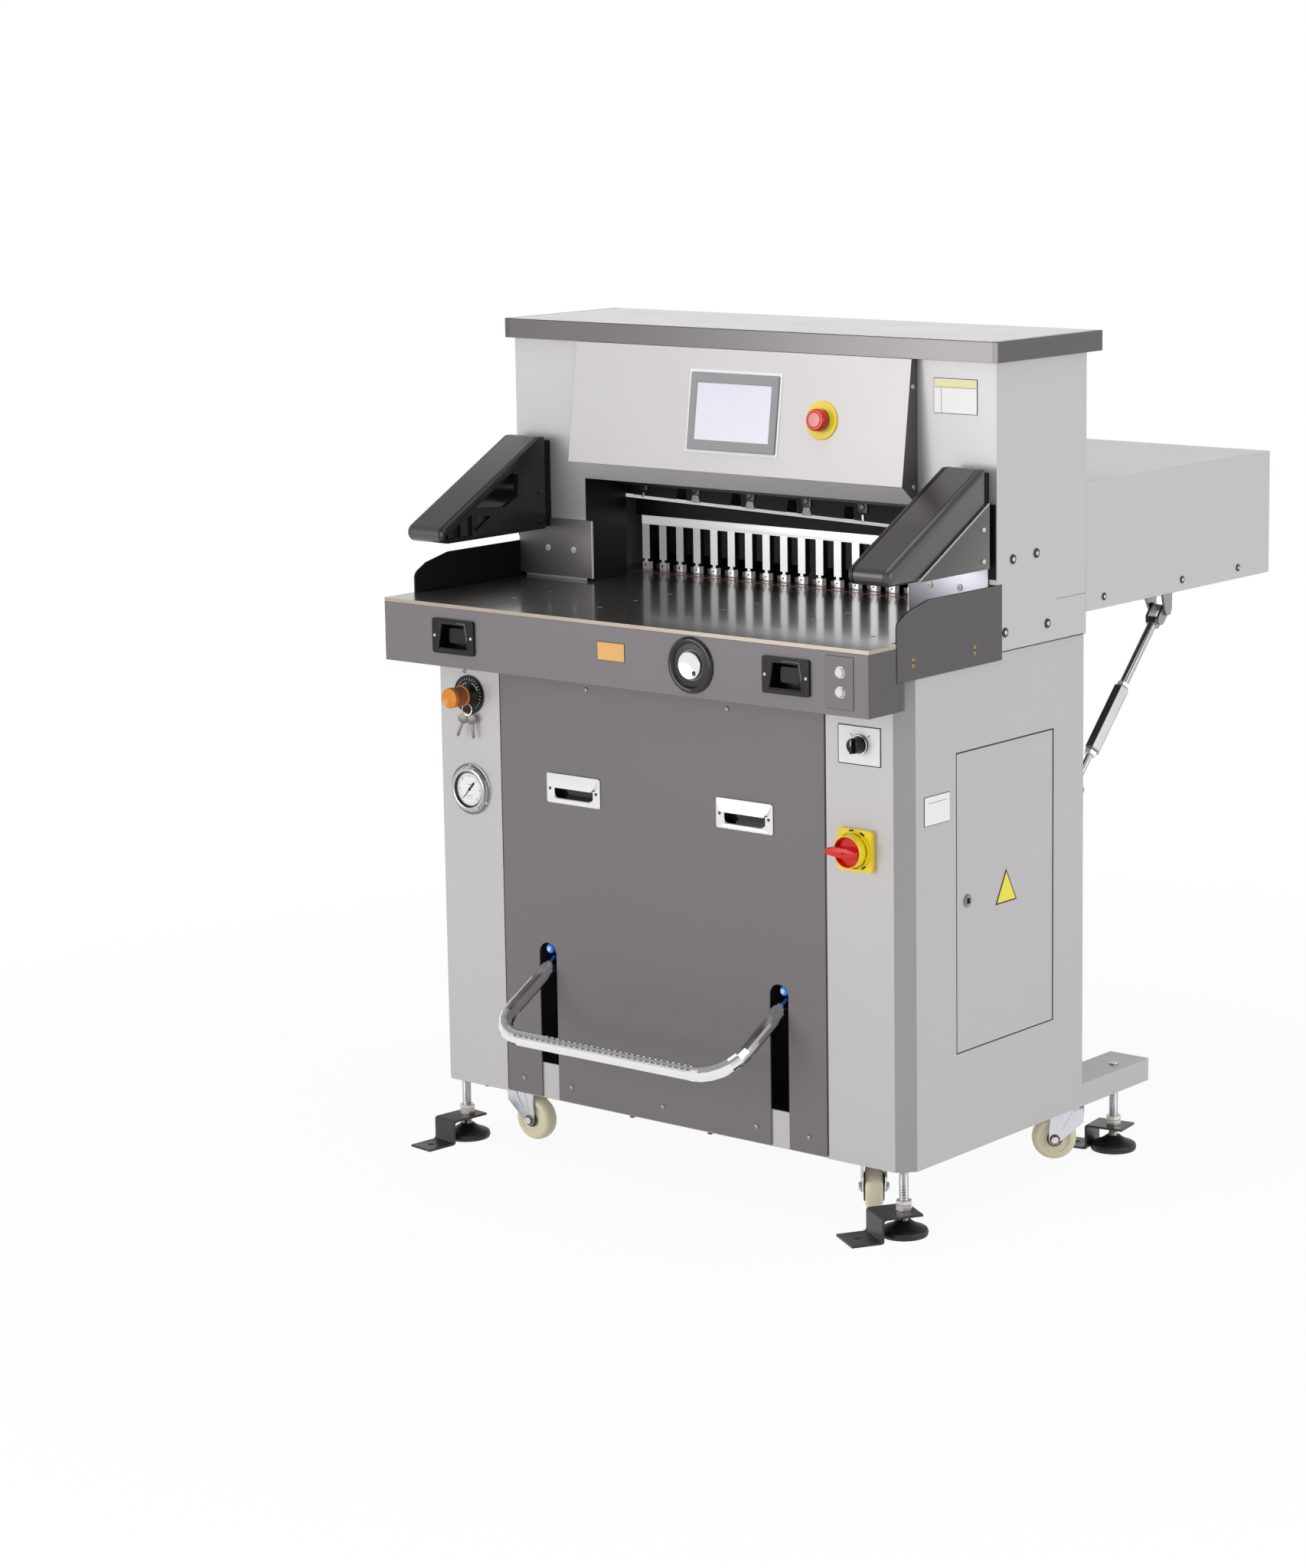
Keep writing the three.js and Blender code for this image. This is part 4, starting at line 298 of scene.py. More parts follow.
class Look:
    def __init__(self, name, **shader):
        self.material = bpy.data.materials.new(name)
        self.material.use_nodes = True
        self.tree = self.material.node_tree
        self.shader = self.tree.nodes["Principled BSDF"]
        for socket, value in shader.items():
            self.feed(socket.replace("_", " "), value)
        self.place = self.node("ShaderNodeTexCoord")["Object"]

    def node(self, kind, settings=(), **values):
        return node(self.tree, kind, settings, **values)

    def noise(self, per_metre, detail=2.0, stretch=(1, 1, 1)):
        place = self.place
        if tuple(stretch) != (1, 1, 1):
            place = self.node("ShaderNodeMapping", Vector=place, Scale=stretch)["Vector"]
        return self.node("ShaderNodeTexNoise", Vector=place, Scale=per_metre, Detail=detail)["Fac"]

    def axis(self, name):
        return self.node("ShaderNodeSeparateXYZ", Vector=self.place)[name]

    def zone(self, **ranges):
        """1 inside a box in millimetres of the machine, where x is the distance from its middle."""
        inside = 1.0
        for name, (low, high) in ranges.items():
            value = self.axis(name.upper())
            value = value.math("ABSOLUTE", value) if name == "x" else value
            shift = {"x": 0, "y": -FROM_FRONT, "z": FLOOR_DROP}[name]
            above = value.math("GREATER_THAN", value, (low + shift) / 1000)
            inside = inside * above * value.math("LESS_THAN", value, (high + shift) / 1000)
        return inside

    def zoned(self, colour, zones):
        for ranges, other in zones:
            colour = self.blend(self.zone(**ranges), colour, other)
        return colour

    def blend(self, factor, a, b):
        return self.node("ShaderNodeMix", {"data_type": "RGBA"}, Factor=factor, A=a, B=b)["Result"]

    def feed(self, socket, value):
        feed(self.tree, self.shader.inputs[socket], value)

    def colour(self, colour, shade):
        scaled = self.node("ShaderNodeVectorMath", {"operation": "SCALE"}, Vector=colour, Scale=shade)["Vector"]
        self.feed("Base Color", scaled)

    def relief(self, height, depth, edge=0.0):
        """Bumps of that depth in metres, over an edge that is rounded by that radius."""
        values = {"Height": height, "Distance": depth}
        if edge:
            values["Normal"] = self.node("ShaderNodeBevel", {"samples": 4}, Radius=edge)["Normal"]
        self.feed("Normal", self.node("ShaderNodeBump", **values)["Normal"])


def paint(name, colour, roughness=0.4, metallic=0.0, coat=0.0, drift=0.05, fleck=0.05, peel=0.00004, edge=0.0009,
          zones=()):
    """Baked paint: fine metal flecks, a slow drift of tone, and the faint ripple of a sprayed coat."""
    look = Look(name, Metallic=metallic, Coat_Weight=coat, Coat_Roughness=0.2)
    slow, fine, ripple = look.noise(2.2, 3), look.noise(1400, 1), look.noise(420, 2)
    look.colour(look.zoned(colour, zones), 1 - (drift + fleck) / 2 + slow * drift + fine * fleck)
    look.feed("Roughness", roughness - 0.04 + look.noise(9, 4) * 0.08)
    look.relief(ripple, peel, edge)
    return look.material


def metal(name, colour, roughness=0.25, grain=(1, 1, 1), depth=0.00001, smear=0.08, edge=0.0, zones=(), glow=0.0):
    """Bare or plated metal: its grain runs along the axis with the smallest stretch."""
    # A glow above zero trades metal for emission of the colour: painted light.
    look = Look(name, Metallic=1.0 - glow, Emission_Strength=glow)
    lines = look.noise(600, 3, grain)
    if glow:
        look.feed("Emission Color", look.zoned(colour, zones))
    look.colour(look.zoned(colour, zones), 0.93 + lines * 0.08 + look.noise(14, 3) * 0.06)
    look.feed("Roughness", roughness - smear / 2 + look.noise(30, 4) * smear + lines * 0.04)
    look.relief(lines, depth, edge)
    return look.material


def plastic(name, colour, roughness=0.35, texture=0.00003, size=900, mottle=0.06, edge=0.0, gloss=0.5):
    """Moulded plastic with the fine spark-eroded texture of its mould."""
    look = Look(name, Specular_IOR_Level=gloss)
    look.colour(colour, 1 - mottle / 2 + look.noise(25, 4) * mottle)
    look.feed("Roughness", roughness - 0.04 + look.noise(60, 3) * 0.08)
    look.relief(look.noise(size, 3), texture, edge)
    return look.material


LIGHT, DARK = (0.56, 0.54, 0.545), (0.175, 0.16, 0.168)
light_paint = paint("light_grey_paint", LIGHT, 0.38, metallic=0.25)
# The chamfers at the cabinet's front corners are painted darker: painted shade on faces that turn away from the
# light.
base_paint = paint("base_paint", LIGHT, 0.38, metallic=0.25,
                   zones=[({"x": (456, 479.7), "y": (-5, 24)}, (0.355, 0.342, 0.346))])
# Inside the throat the casing is painted near black: painted shade where the head's walls shade the throat.
casing_paint = paint("casing_paint", (0.6, 0.58, 0.585), 0.38, metallic=0.25,
                     zones=[({"x": (-1, 337.6), "y": (228.6, 471), "z": (0, 1207)}, (0.01, 0.01, 0.01))])
# The console's side cheeks are dark grey paint, made darker still as painted shade. Its lower lip faces down and is
# painted much lighter as painted light.
console_paint = paint("console_paint", (0.63, 0.605, 0.61), 0.3, metallic=0.15,
                      zones=[({"x": (336.8, 340)}, (0.1, 0.092, 0.096)),
                             ({"x": (-1, 336.8), "z": (975, 1012)}, (0.95, 0.92, 0.93))])
cover_paint = paint("cover_paint", (0.6, 0.58, 0.585), 0.34, metallic=0.25)
dark_paint = paint("dark_grey_paint", DARK, 0.42, metallic=0.25, fleck=0.12)
# The apron's end faces are painted darker: painted shade on the sides.
apron_paint = paint("apron_paint", (0.185, 0.168, 0.176), 0.42, metallic=0.25, fleck=0.12,
                    zones=[({"x": (483.7, 486)}, (0.105, 0.096, 0.1))])
# The guards' paint is a darker copy of the dark grey paint: painted shade on faces that turn to the side.
guard_paint = paint("guard_paint", (0.096, 0.088, 0.093), 0.42, metallic=0.25, fleck=0.12)
# The lid's top is painted much lighter, a painted reflection of the bright surround at a grazing angle, and its end
# faces are painted darker as painted shade.
lid_paint = paint("lid_paint", (0.165, 0.155, 0.16), 0.24, metallic=0.85, fleck=0.1,
                  zones=[({"z": (1237.6, 1240)}, (0.6, 0.58, 0.585)),
                         ({"x": (484, 496)}, (0.13, 0.123, 0.126))])
black_paint = paint("black_paint", (0.02, 0.019, 0.02), 0.35, peel=0.00008)
arm_paint = paint("arm_paint", (0.05, 0.044, 0.042), 0.3, coat=0.5, peel=0.00006)
throat_black = plastic("throat_black", (0.008, 0.008, 0.008), 0.6, gloss=0.25)
chrome = metal("chrome", (0.82, 0.82, 0.83), 0.07, depth=0.000001, smear=0.05)
steel = metal("bright_steel", (0.72, 0.72, 0.72), 0.24, grain=(1, 1, 0.05), edge=0.0004)
# The comb's bars glow a little, painted light that makes them read as lit polished steel. The gauge body behind them
# is painted near black as painted shade inside the head.
comb_steel = metal("comb_steel", (0.72, 0.71, 0.71), 0.32, grain=(1, 1, 0.05), glow=0.3,
                   zones=[({"y": (394.2, 460)}, (0.004, 0.004, 0.004))])
plate_steel = metal("plate_steel", (0.36, 0.36, 0.4), 0.34, grain=(0.05, 1, 1))
zinc = metal("zinc", (0.62, 0.61, 0.58), 0.3, depth=0.00002, smear=0.14, edge=0.0004)
dark_zinc = metal("dark_zinc", (0.085, 0.08, 0.075), 0.3, depth=0.00002, smear=0.14)
lock_steel = metal("lock_steel", (0.3, 0.3, 0.31), 0.25,
                   zones=[({"x": (481, 489), "y": (150.5, 159.5), "z": (390.5, 399.5)}, (0.02, 0.02, 0.02))])
brass = metal("brass", (0.34, 0.27, 0.13), 0.25)
black_plastic = plastic("black_plastic", (0.006, 0.006, 0.0065), 0.3, gloss=0.25)
# The comb feet and the strut lock nuts glow a little: painted light.
white_zinc = metal("white_zinc", (0.68, 0.66, 0.64), 0.35, glow=0.2)
gloss_black = plastic("gloss_black", (0.006, 0.006, 0.007), 0.08, texture=0.0)
rubber = plastic("rubber", (0.012, 0.011, 0.011), 0.45, texture=0.0001, size=500)
grey_plastic = plastic("screen_plastic", (0.33, 0.32, 0.34), 0.4)
white_plastic = plastic("white_plastic", (0.8, 0.79, 0.77), 0.2)
nylon = plastic("nylon", (0.86, 0.79, 0.58), 0.35, mottle=0.1)
red_plastic = plastic("red_plastic", (0.78, 0.02, 0.014), 0.22, gloss=0.35)
yellow_plastic = plastic("yellow_plastic", (0.98, 0.76, 0.02), 0.25)
orange_plastic = plastic("orange_plastic", (0.82, 0.27, 0.0), 0.25)
stop_red = plastic("stop_red", (0.9, 0.3, 0.3), 0.25)
collar_brown = plastic("collar_brown", (0.42, 0.09, 0.02), 0.3)
blue_plastic = plastic("blue_plastic", (0.03, 0.2, 0.85), 0.2)
sky_plastic = plastic("sky_plastic", (0.4, 0.75, 1.0), 0.2)
stick_red = plastic("stick_red", (0.45, 0.12, 0.1), 0.4)
print(len(bpy.data.materials), "materials")

# %% [markdown]
# The table is cast iron under a dark polished coat. It was ground from side to side, so the grain runs along X
# and draws each reflection of a comb bar out towards the operator.

# %% Table coat
look = Look("table_coat", Metallic=0.45, Coat_Weight=0.65, Coat_Roughness=0.11)
grinding = look.noise(500, 3, (0.04, 1, 1))
edges = [({"y": (-97, -96.05)}, (0.42, 0.35, 0.28)), ({"x": (483.6, 485), "y": (-97, -20)}, (0.42, 0.35, 0.28))]
look.colour(look.zoned((0.085, 0.077, 0.072), edges), 0.85 + grinding * 0.2 + look.noise(3, 3) * 0.1)
look.feed("Roughness", 0.2 + look.noise(12, 4) * 0.06 + grinding * 0.05)
look.relief(grinding, 0.00003)
table_coat = look.material

# %% [markdown]
# ## What each solid is made of
# These thirty solids keep their shape and get the finish that the real part has, some with painted shade and
# painted light in zones of their paint, as noted where those finishes are made. The pieces below replace the
# other thirty.

# %% What each solid is made of
FINISHES = {
    light_paint: "cabinet_door",
    base_paint: "base_cabinet",
    casing_paint: "head_casing",
    console_paint: "console_cover",
    cover_paint: "rear_cover",
    dark_paint: "front_panel hydraulic_unit",
    apron_paint: "apron",
    lid_paint: "lid",
    throat_black: "clamp_beam knife_carrier",
    table_coat: "table",
    chrome: "pedal_bar pressure_gauge",
    lock_steel: "door_lock",
    steel: "knife knife_guide_block lead_screw",
    comb_steel: "back_gauge",
    zinc: "pedal_shaft",
    black_plastic: "pressure_dial selector_knob button_housing_left button_housing_right "
                   "cut_button_left cut_button_right",
    yellow_plastic: "isolator_base",
    stick_red: "cutting_stick",
    white_plastic: "push_button_upper push_button_lower",
}
for material, names in FINISHES.items():
    for name in names.split():
        slots = nodes[name].data.materials
        slots.clear()
        slots.append(material)
print("replaced below:", sorted(set(nodes) - {name for names in FINISHES.values() for name in names.split()}))

# %% [markdown]
# ## Camera
# The camera stands where the photographer stood: to the right of the machine, at eye height, with a long lens.

# %% Camera
camera_data = bpy.data.cameras.new("camera")
camera = bpy.data.objects.new("camera", camera_data)
bpy.context.scene.collection.objects.link(camera)
right, up, back = (0.78914, 0.61414, -0.00944), (-0.09952, 0.14301, 0.98471), (0.60610, -0.77613, 0.17397)
camera.matrix_world = Matrix.Translation((3.7672, -4.9008, 1.7894)) @ Matrix((right, up, back)).transposed().to_4x4()
camera_data.lens = 87.78
camera_data.shift_x, camera_data.shift_y = -0.0929, -0.0435
camera_data.clip_end = 200
bpy.context.scene.camera = camera
print("lens", camera_data.lens)

# %% [markdown]
# ## Studio
# A pale floor, an even white surround, and three soft boxes. The surround is full white only to the camera and
# in reflections off glass and chrome, and plainer as light, so pale paint keeps its tone.

# %% Studio
scene = bpy.context.scene
scene.view_settings.view_transform = "Standard"
world = bpy.data.worlds.new("surround")
scene.world = world
world.use_nodes = True
tree = world.node_tree
surround = tree.nodes["Background"]
rays = node(tree, "ShaderNodeLightPath")
direction = node(tree, "ShaderNodeTexCoord")["Generated"]
overhead = node(tree, "ShaderNodeSeparateXYZ", Vector=direction)["Z"].between(0.22, 0.62)
feed(tree, surround.inputs["Strength"],
     0.5 + rays["Is Camera Ray"] * 0.5 + rays["Is Glossy Ray"] * (0.5 - overhead * 0.62))
surround.inputs["Color"].default_value = (1, 1, 1, 1)

floor_look = Look("floor", Roughness=0.7)
floor_look.colour((0.9, 0.9, 0.9), 0.99 + floor_look.noise(3) * 0.02)
floor_tree = floor_look.tree
cover = floor_tree.nodes.new("ShaderNodeMixShader")
rays = floor_look.node("ShaderNodeLightPath")
away = floor_look.node("ShaderNodeVectorMath", {"operation": "LENGTH"}, Vector=floor_look.place)["Value"]
shown = rays["Is Camera Ray"] + rays["Is Glossy Ray"] + rays["Is Transmission Ray"]
lit, bright = floor_look.shader.outputs["BSDF"], floor_look.node("ShaderNodeEmission")["Emission"]
faded = shown * (0.93 + away.between(0.7, 2.6) * 0.07)
for socket, value in zip(cover.inputs, (faded, Flow(floor_tree, lit), bright)):
    feed(floor_tree, socket, value)
floor_tree.links.new(cover.outputs["Shader"], floor_tree.nodes["Material Output"].inputs["Surface"])
bm = bmesh.new()
bmesh.ops.create_circle(bm, cap_ends=True, radius=60, segments=64)
floor_mesh = bpy.data.meshes.new("floor")
bm.to_mesh(floor_mesh)
bm.free()
floor_mesh.materials.append(floor_look.material)
floor = bpy.data.objects.new("floor", floor_mesh)
scene.collection.objects.link(floor)


def soft_box(name, place, target, size, radiance):
    lamp = bpy.data.lights.new(name, "AREA")
    lamp.shape, lamp.size, lamp.size_y = "RECTANGLE", *size
    lamp.energy = radiance * math.pi * size[0] * size[1]
    box = bpy.data.objects.new(name, lamp)
    box.location = place
    box.rotation_mode = "QUATERNION"
    box.rotation_quaternion = (Vector(target) - Vector(place)).to_track_quat("-Z", "Y")
    box.visible_camera = False
    scene.collection.objects.link(box)


soft_box("box_front", (-1.8, -4.7, 1.4), (0, 0, 0.9), (2.6, 2.6), 3.2)
soft_box("box_right", (4.3, 0.2, 1.7), (0, 0, 0.9), (2.4, 2.4), 2.2)
soft_box("box_top", (0.2, -0.4, 4.2), (0, 0, 0.9), (3.0, 3.0), 1.4)

# %% [markdown]
# ## Repeats
# Screws, bumps and scale marks are one small mesh many times over. A Geometry Nodes tree copies it to a list of
# spots, each with its own direction and size, and turns each copy by a seeded amount, as a fitter leaves screws.


# %% Repeats
FULL_TURN = 6.28
ROLL_SEED = 7


def copies_tree():
    tree = bpy.data.node_groups.new("copies_at_spots", "GeometryNodeTree")
    for name, kind, way in (("Spots", "Geometry", "INPUT"), ("Copy", "Object", "INPUT"),
                            ("Finish", "Material", "INPUT"),
                            ("Roll", "Float", "INPUT"), ("Copies", "Geometry", "OUTPUT")):
        tree.interface.new_socket(name, in_out=way, socket_type="NodeSocket" + kind)

    def attribute(name, kind):
        return node(tree, "GeometryNodeInputNamedAttribute", {"data_type": kind}, Name=name)["Attribute"]

    given = node(tree, "NodeGroupInput")
    aim = node(tree, "FunctionNodeAlignRotationToVector", {"axis": "Z"}, Vector=attribute("out", "FLOAT_VECTOR"))
    angle = node(tree, "FunctionNodeRandomValue", {"data_type": "FLOAT"}, Min=0.0, Max=given["Roll"], Seed=ROLL_SEED)
    spin = node(tree, "FunctionNodeAxisAngleToRotation", Axis=UP, Angle=angle["Value"])
    turn = node(tree, "FunctionNodeRotateRotation", {"rotation_space": "LOCAL"}, Rotation=aim["Rotation"],
                Rotate_By=spin["Rotation"])
    copy = node(tree, "GeometryNodeObjectInfo", Object=given["Copy"])
    placed = node(tree, "GeometryNodeInstanceOnPoints", Points=given["Spots"], Instance=copy["Geometry"],
                  Rotation=turn["Rotation"], Scale=attribute("size", "FLOAT"))
    real = node(tree, "GeometryNodeRealizeInstances", Geometry=placed["Instances"])
    done = node(tree, "GeometryNodeSetMaterial", Geometry=real["Geometry"], Material=given["Finish"])
    node(tree, "NodeGroupOutput", Copies=done["Geometry"])
    return tree


copies = copies_tree()


def copied(name, pattern, spots, finish, body, roll=0.0):
    """Copies of a pattern Shape at spots (x, y, z, out, size), baked to one plain mesh."""
    source = bpy.data.objects.new(name + "_pattern", pattern.mesh_named(name + "_pattern"))
    carrier_mesh = bpy.data.meshes.new(name + "_spots")
    carrier_mesh.from_pydata([at(*spot[:3]) for spot in spots], [], [])
    carrier_mesh.attributes.new("out", "FLOAT_VECTOR", "POINT")
    carrier_mesh.attributes.new("size", "FLOAT", "POINT")
    for i, (*_, out, size) in enumerate(spots):
        carrier_mesh.attributes["out"].data[i].vector = Vector(out).normalized()
        carrier_mesh.attributes["size"].data[i].value = size
    carrier = bpy.data.objects.new(name + "_carrier", carrier_mesh)
    scene.collection.objects.link(carrier)
    modifier = carrier.modifiers.new("copies", "NODES")
    modifier.node_group = copies
    keys = {item.name: item.identifier for item in copies.interface.items_tree if item.in_out == "INPUT"}
    for key, value in (("Copy", source), ("Finish", finish), ("Roll", roll)):
        modifier[keys[key]] = value
    depsgraph = bpy.context.evaluated_depsgraph_get()
    made = bpy.data.meshes.new_from_object(carrier.evaluated_get(depsgraph), depsgraph=depsgraph)
    made.name = name
    for each in (carrier, source):
        bpy.data.objects.remove(each)
    fitted(name, made, body)
    print(name, len(spots), "copies,", len(made.polygons), "faces")


def cross_ring(length, width, height, steps=32):
    """The mouth of a cross recess, with as many points as the head around it."""
    ring = []
    for x, y, _ in circle(1, 0, steps):
        c, s = max(abs(x), 1e-6), max(abs(y), 1e-6)
        r = max(min(length / c, width / s), min(width / c, length / s))
        ring.append((r * x, r * y, height))
    return ring


def pan_head():
    """A cross-recess pan head, 8 mm across."""
    rings = turned([(4, 0), (4, 0.9), (3.7, 1.7), (3.0, 2.3)])
    return Shape().add(rings + [cross_ring(2.1, 0.55, 2.5), cross_ring(1.6, 0.4, 1.2)], MM, zinc)


def cup_head():
    """A bolt in a dark washer, whose dark ring is painted shade round the head: ring, groove, and a pale head with a
    hexagon socket.
    """
    washer = [(7.6, 0), (7.6, 1.1), (7.0, 1.6), (5.4, 1.6), (5.2, 0.5), (4.6, 0.5), (4.4, 1.9), (3.8, 2.3)]
    return Shape().add(turned(washer), MM, zinc).add(slab(polygon(2.6), 2.2, 2.36), MM, zinc)


PANEL_SCREWS = ((-144, 681), (140.5, 679), (-293, 27), (-191, 27), (0, 27), (189, 27), (292, 27))
front_screws = [(x, 0, z, FRONT, 1.0) for x, z in PANEL_SCREWS] + [(-403.5, 0, 686.3, FRONT, 0.8)]
copied("panel_screws", pan_head(), front_screws, plate_steel, "base", FULL_TURN)

HEAD_BOLTS = ((270, 905), (333, 907.5), (363, 795), (249, 795))
COVER_BOLTS = ((521, 818), (750, 818), (922, 818))
side_bolts = [(HEAD_SIDE, y, z, RIGHT, size) for size, bolts in ((1.0, HEAD_BOLTS), (0.8, COVER_BOLTS))
              for y, z in bolts]
side_bolts += [(-x, y, z, LEFT, size) for x, y, z, _, size in side_bolts]
copied("side_bolts", cup_head(), side_bolts, dark_zinc, "base", FULL_TURN)
bolt_cap = Shape().add(turned([(3.6, 2.2), (3.6, 2.5), (2.9, 2.8)]), MM, zinc)
copied("side_bolt_caps", bolt_cap, side_bolts, zinc, "base")

# %% [markdown]
# ## Seams and plates
# Sheet-metal work shows its joints as thin dark lines. Each line is a flat strip a quarter of a millimetre
# proud. The plates are blank: a plain face in a thin dark frame, as the machine would be delivered without its
# labels.


# %% Seams and plates
dark_line = plastic("seam_dark", (0.03, 0.028, 0.03), 0.6)
plate_white = plastic("plate_white", (0.97, 0.965, 0.96), 0.25, texture=0.00001)
plate_yellow = plastic("plate_yellow", (0.93, 0.88, 0.45), 0.3, texture=0.00001)
sign_yellow = plastic("sign_yellow", (0.97, 0.86, 0.06), 0.3, texture=0.00001)
plate_orange = plastic("plate_orange", (0.86, 0.46, 0.14), 0.3, texture=0.00001)
strip_grey = plastic("strip_grey", (0.2, 0.185, 0.19), 0.5)


def seam(start, end, width, out=RIGHT, finish=dark_line):
    """A flat strip on a face with that normal, between two places in millimetres."""
    a, b, normal = Vector(start), Vector(end), Vector(out)
    along = (b - a).normalized()
    turn = Matrix((along, normal.cross(along), normal)).transposed().to_4x4()
    place = Matrix.Translation(at(*(a + b) / 2)) @ turn @ MM
    lines.add(slab(rounded((b - a).length, width, width / 3, 2), -0.2, 0.25), place, finish)


lines = Shape()
for side, _ in SIDES:
    for y0, z0, y1, z1, width, finish in ((231, 766.2, 462, 766.2, 1.6, dark_line),
                                          (386, 830, 469, 830, 0.8, strip_grey),
                                          (-28.2, 752, -28.2, 811, 1.8, dark_line)):
        seam((side * HEAD_SIDE, y0, z0), (side * HEAD_SIDE, y1, z1), width, (side, 0, 0), finish)
for y0, z0, y1, z1, width in ((127, 160.4, 127, 626.6, 1.7), (385.4, 160.4, 385.4, 626.6, 3.2),
                              (126, 160.8, 386, 160.8, 1.4), (126, 626.2, 386, 626.2, 2.2)):
    seam((CABINET_SIDE, y0, z0), (CABINET_SIDE, y1, z1), width)
for x, width in ((329, 3.0), (-328, 1.2)):
    seam((x, -0.2, 4), (x, -0.2, 741), width, FRONT)
lines.finish("seams", "base", "dark_grey_paint")

APRON = -96.4
plates = Shape()


def plate(place, width, height, face, border, bands=()):
    """A thin framed plate. Bands are (centre x, centre y, width, height, finish) on its face."""
    plates.add(slab(rounded(width, height, 1.5), 0, 0.7, 0.2), place, dark_line)
    plates.add(slab(rounded(width - 2 * border, height - 2 * border, 1), 0.5, 0.9), place, face)
    for x, y, w, h, finish in bands:
        plates.add(slab(rounded(w, h, 0.6, 2), 0.8, 1.05), moved(place, x, y), finish)


plate(facing(394, 0, 649), 80, 60, plate_white, 1.6)
plate(facing(408.5, 227.6, 1152), 81, 54, plate_white, 1.0,
      [(0, 19.5, 78, 12, plate_yellow), (-26, -7, 0.8, 38, strip_grey), (0, 13, 78, 0.8, strip_grey)])
plate(facing(-7.5, APRON, 766.5), 55, 29, plate_orange, 0.8)
plate(facing(431.5, APRON, 760.5), 51, 79, strip_grey, 0.6)
plate(facing(CABINET_SIDE, 77, 549.5, RIGHT), 66, 45, plate_white, 0.9, [(0, 12, 46, 0.8, strip_grey)])
plates.finish("plates", "base", "white_plastic")

sign, sign_place = Shape(), facing(CABINET_SIDE, 257.5, 400, RIGHT)
triangle = [(-28.5, -26), (28.5, -26), (0, 26.5)]
sign.add(slab(triangle, 0, 0.6, 0.2), sign_place, dark_line)
sign.add(slab(inset(triangle, 2.4), 0.5, 0.8), sign_place, sign_yellow)
sign.finish("door_plate", "door", "yellow_plastic")

# %% [markdown]
# ## Pressure gauge
# A white dial with an arc of marks, inside a dark ring and two chrome rims. The needle is its own solid, so the
# marks lie behind it.

# %% Pressure gauge
def around(degrees, reach):
    """A spot that far from the middle of a dial, counted anticlockwise from the right."""
    return Matrix.Rotation(math.radians(degrees), 4, "Z") @ Matrix.Translation((reach, 0, 0))


def dial_marks(shape, place, count, start, sweep, rim, every, large, small, low, high, finish):
    """Marks (length, width) clockwise from the start, with their outer ends on the rim and large ones at times."""
    for i in range(count):
        length, width = small if i % every else large
        spot = around(start - sweep * i / (count - 1), rim - length / 2)
        shape.add(slab(rounded(length, width, 0.2, 1), low, high), place @ spot, finish)


GAUGE = (-393.5, 0, 494.4)
gauge_place = facing(*GAUGE)
dial_white = plastic("dial_white", (0.97, 0.97, 0.98), 0.2, texture=0.0)
dial = Shape()
dial.add(turned([(28.3, 5.02), (28.3, 5.3), (27.9, 5.4)]), gauge_place, dial_white)
dial_marks(dial, gauge_place, 31, 225, 270, 24.5, 5, (5.0, 0.9), (2.6, 0.45), 5.3, 5.55, dark_line)
for x, y, w in ((0, -11, 11), (-4, -15.5, 3), (4, -15.5, 3), (0, 8, 7)):
    dial.add(slab(rounded(w, 1.0, 0.3, 1), 5.3, 5.5), moved(gauge_place, x, y), strip_grey)
dial.add(turned([(29.8, 5.3), (29.8, 9.4), (27.2, 7.4), (27.2, 5.3)]), gauge_place, gloss_black, True)
dial.finish("gauge_dial", "base", "white_plastic")

gauge_chrome = metal("gauge_chrome", (0.2, 0.2, 0.205), 0.14, smear=0.1)
rim_chrome = metal("rim_chrome", (0.5, 0.5, 0.51), 0.12, smear=0.08)
rim = Shape()
rim.add(turned([(36.6, 2.4), (36.6, 2.8), (35.6, 2.8), (35.6, 2.4)], 64), gauge_place, gloss_black, True)
for r0, r1, low, high, finish in ((41.8, 37.5, 2.55, 3.3, gauge_chrome), (35.2, 29.8, 8.9, 10.2, rim_chrome)):
    knee = low + (high - low) * 0.6
    section = [(r0, low), (r0, knee), (r0 - 0.8, high), (r1 + 0.8, high), (r1, knee), (r1, low)]
    rim.add(turned(section, 64), gauge_place, finish, True)
for angle in (90, 210, 330):
    rim.add(turned([(2.2, 0), (2.2, 0.7), (1.6, 1.3)], 16), moved(gauge_place, *polar(38.8, angle), 2.6), zinc)
rim.finish("gauge_rims", "base", "chrome")

# %% [markdown]
# ## Pressure dial and its keys
# A black disc with a white printed scale, a glossy orange cap with a ridged skirt, and two keys on a split ring
# that hang from the lock under the knob.

# %% Pressure dial and its keys
dial_place = facing(-393.5, 0, 649.5)
scale = Shape()
dial_marks(scale, dial_place, 24, 230, 280, 27, 4, (4.4, 0.7), (2.4, 0.7), 2.9, 3.2, plate_white)
for first, last, radius in ((100, 150, 19), (20, 70, 21)):
    arc = [(*polar(radius, a), 3.0) for a in range(first, last + 1, 10)]
    scale.add(swept(arc, polygon(0.5)), dial_place, plate_white)
scale.finish("pressure_scale", "base", "white_plastic")

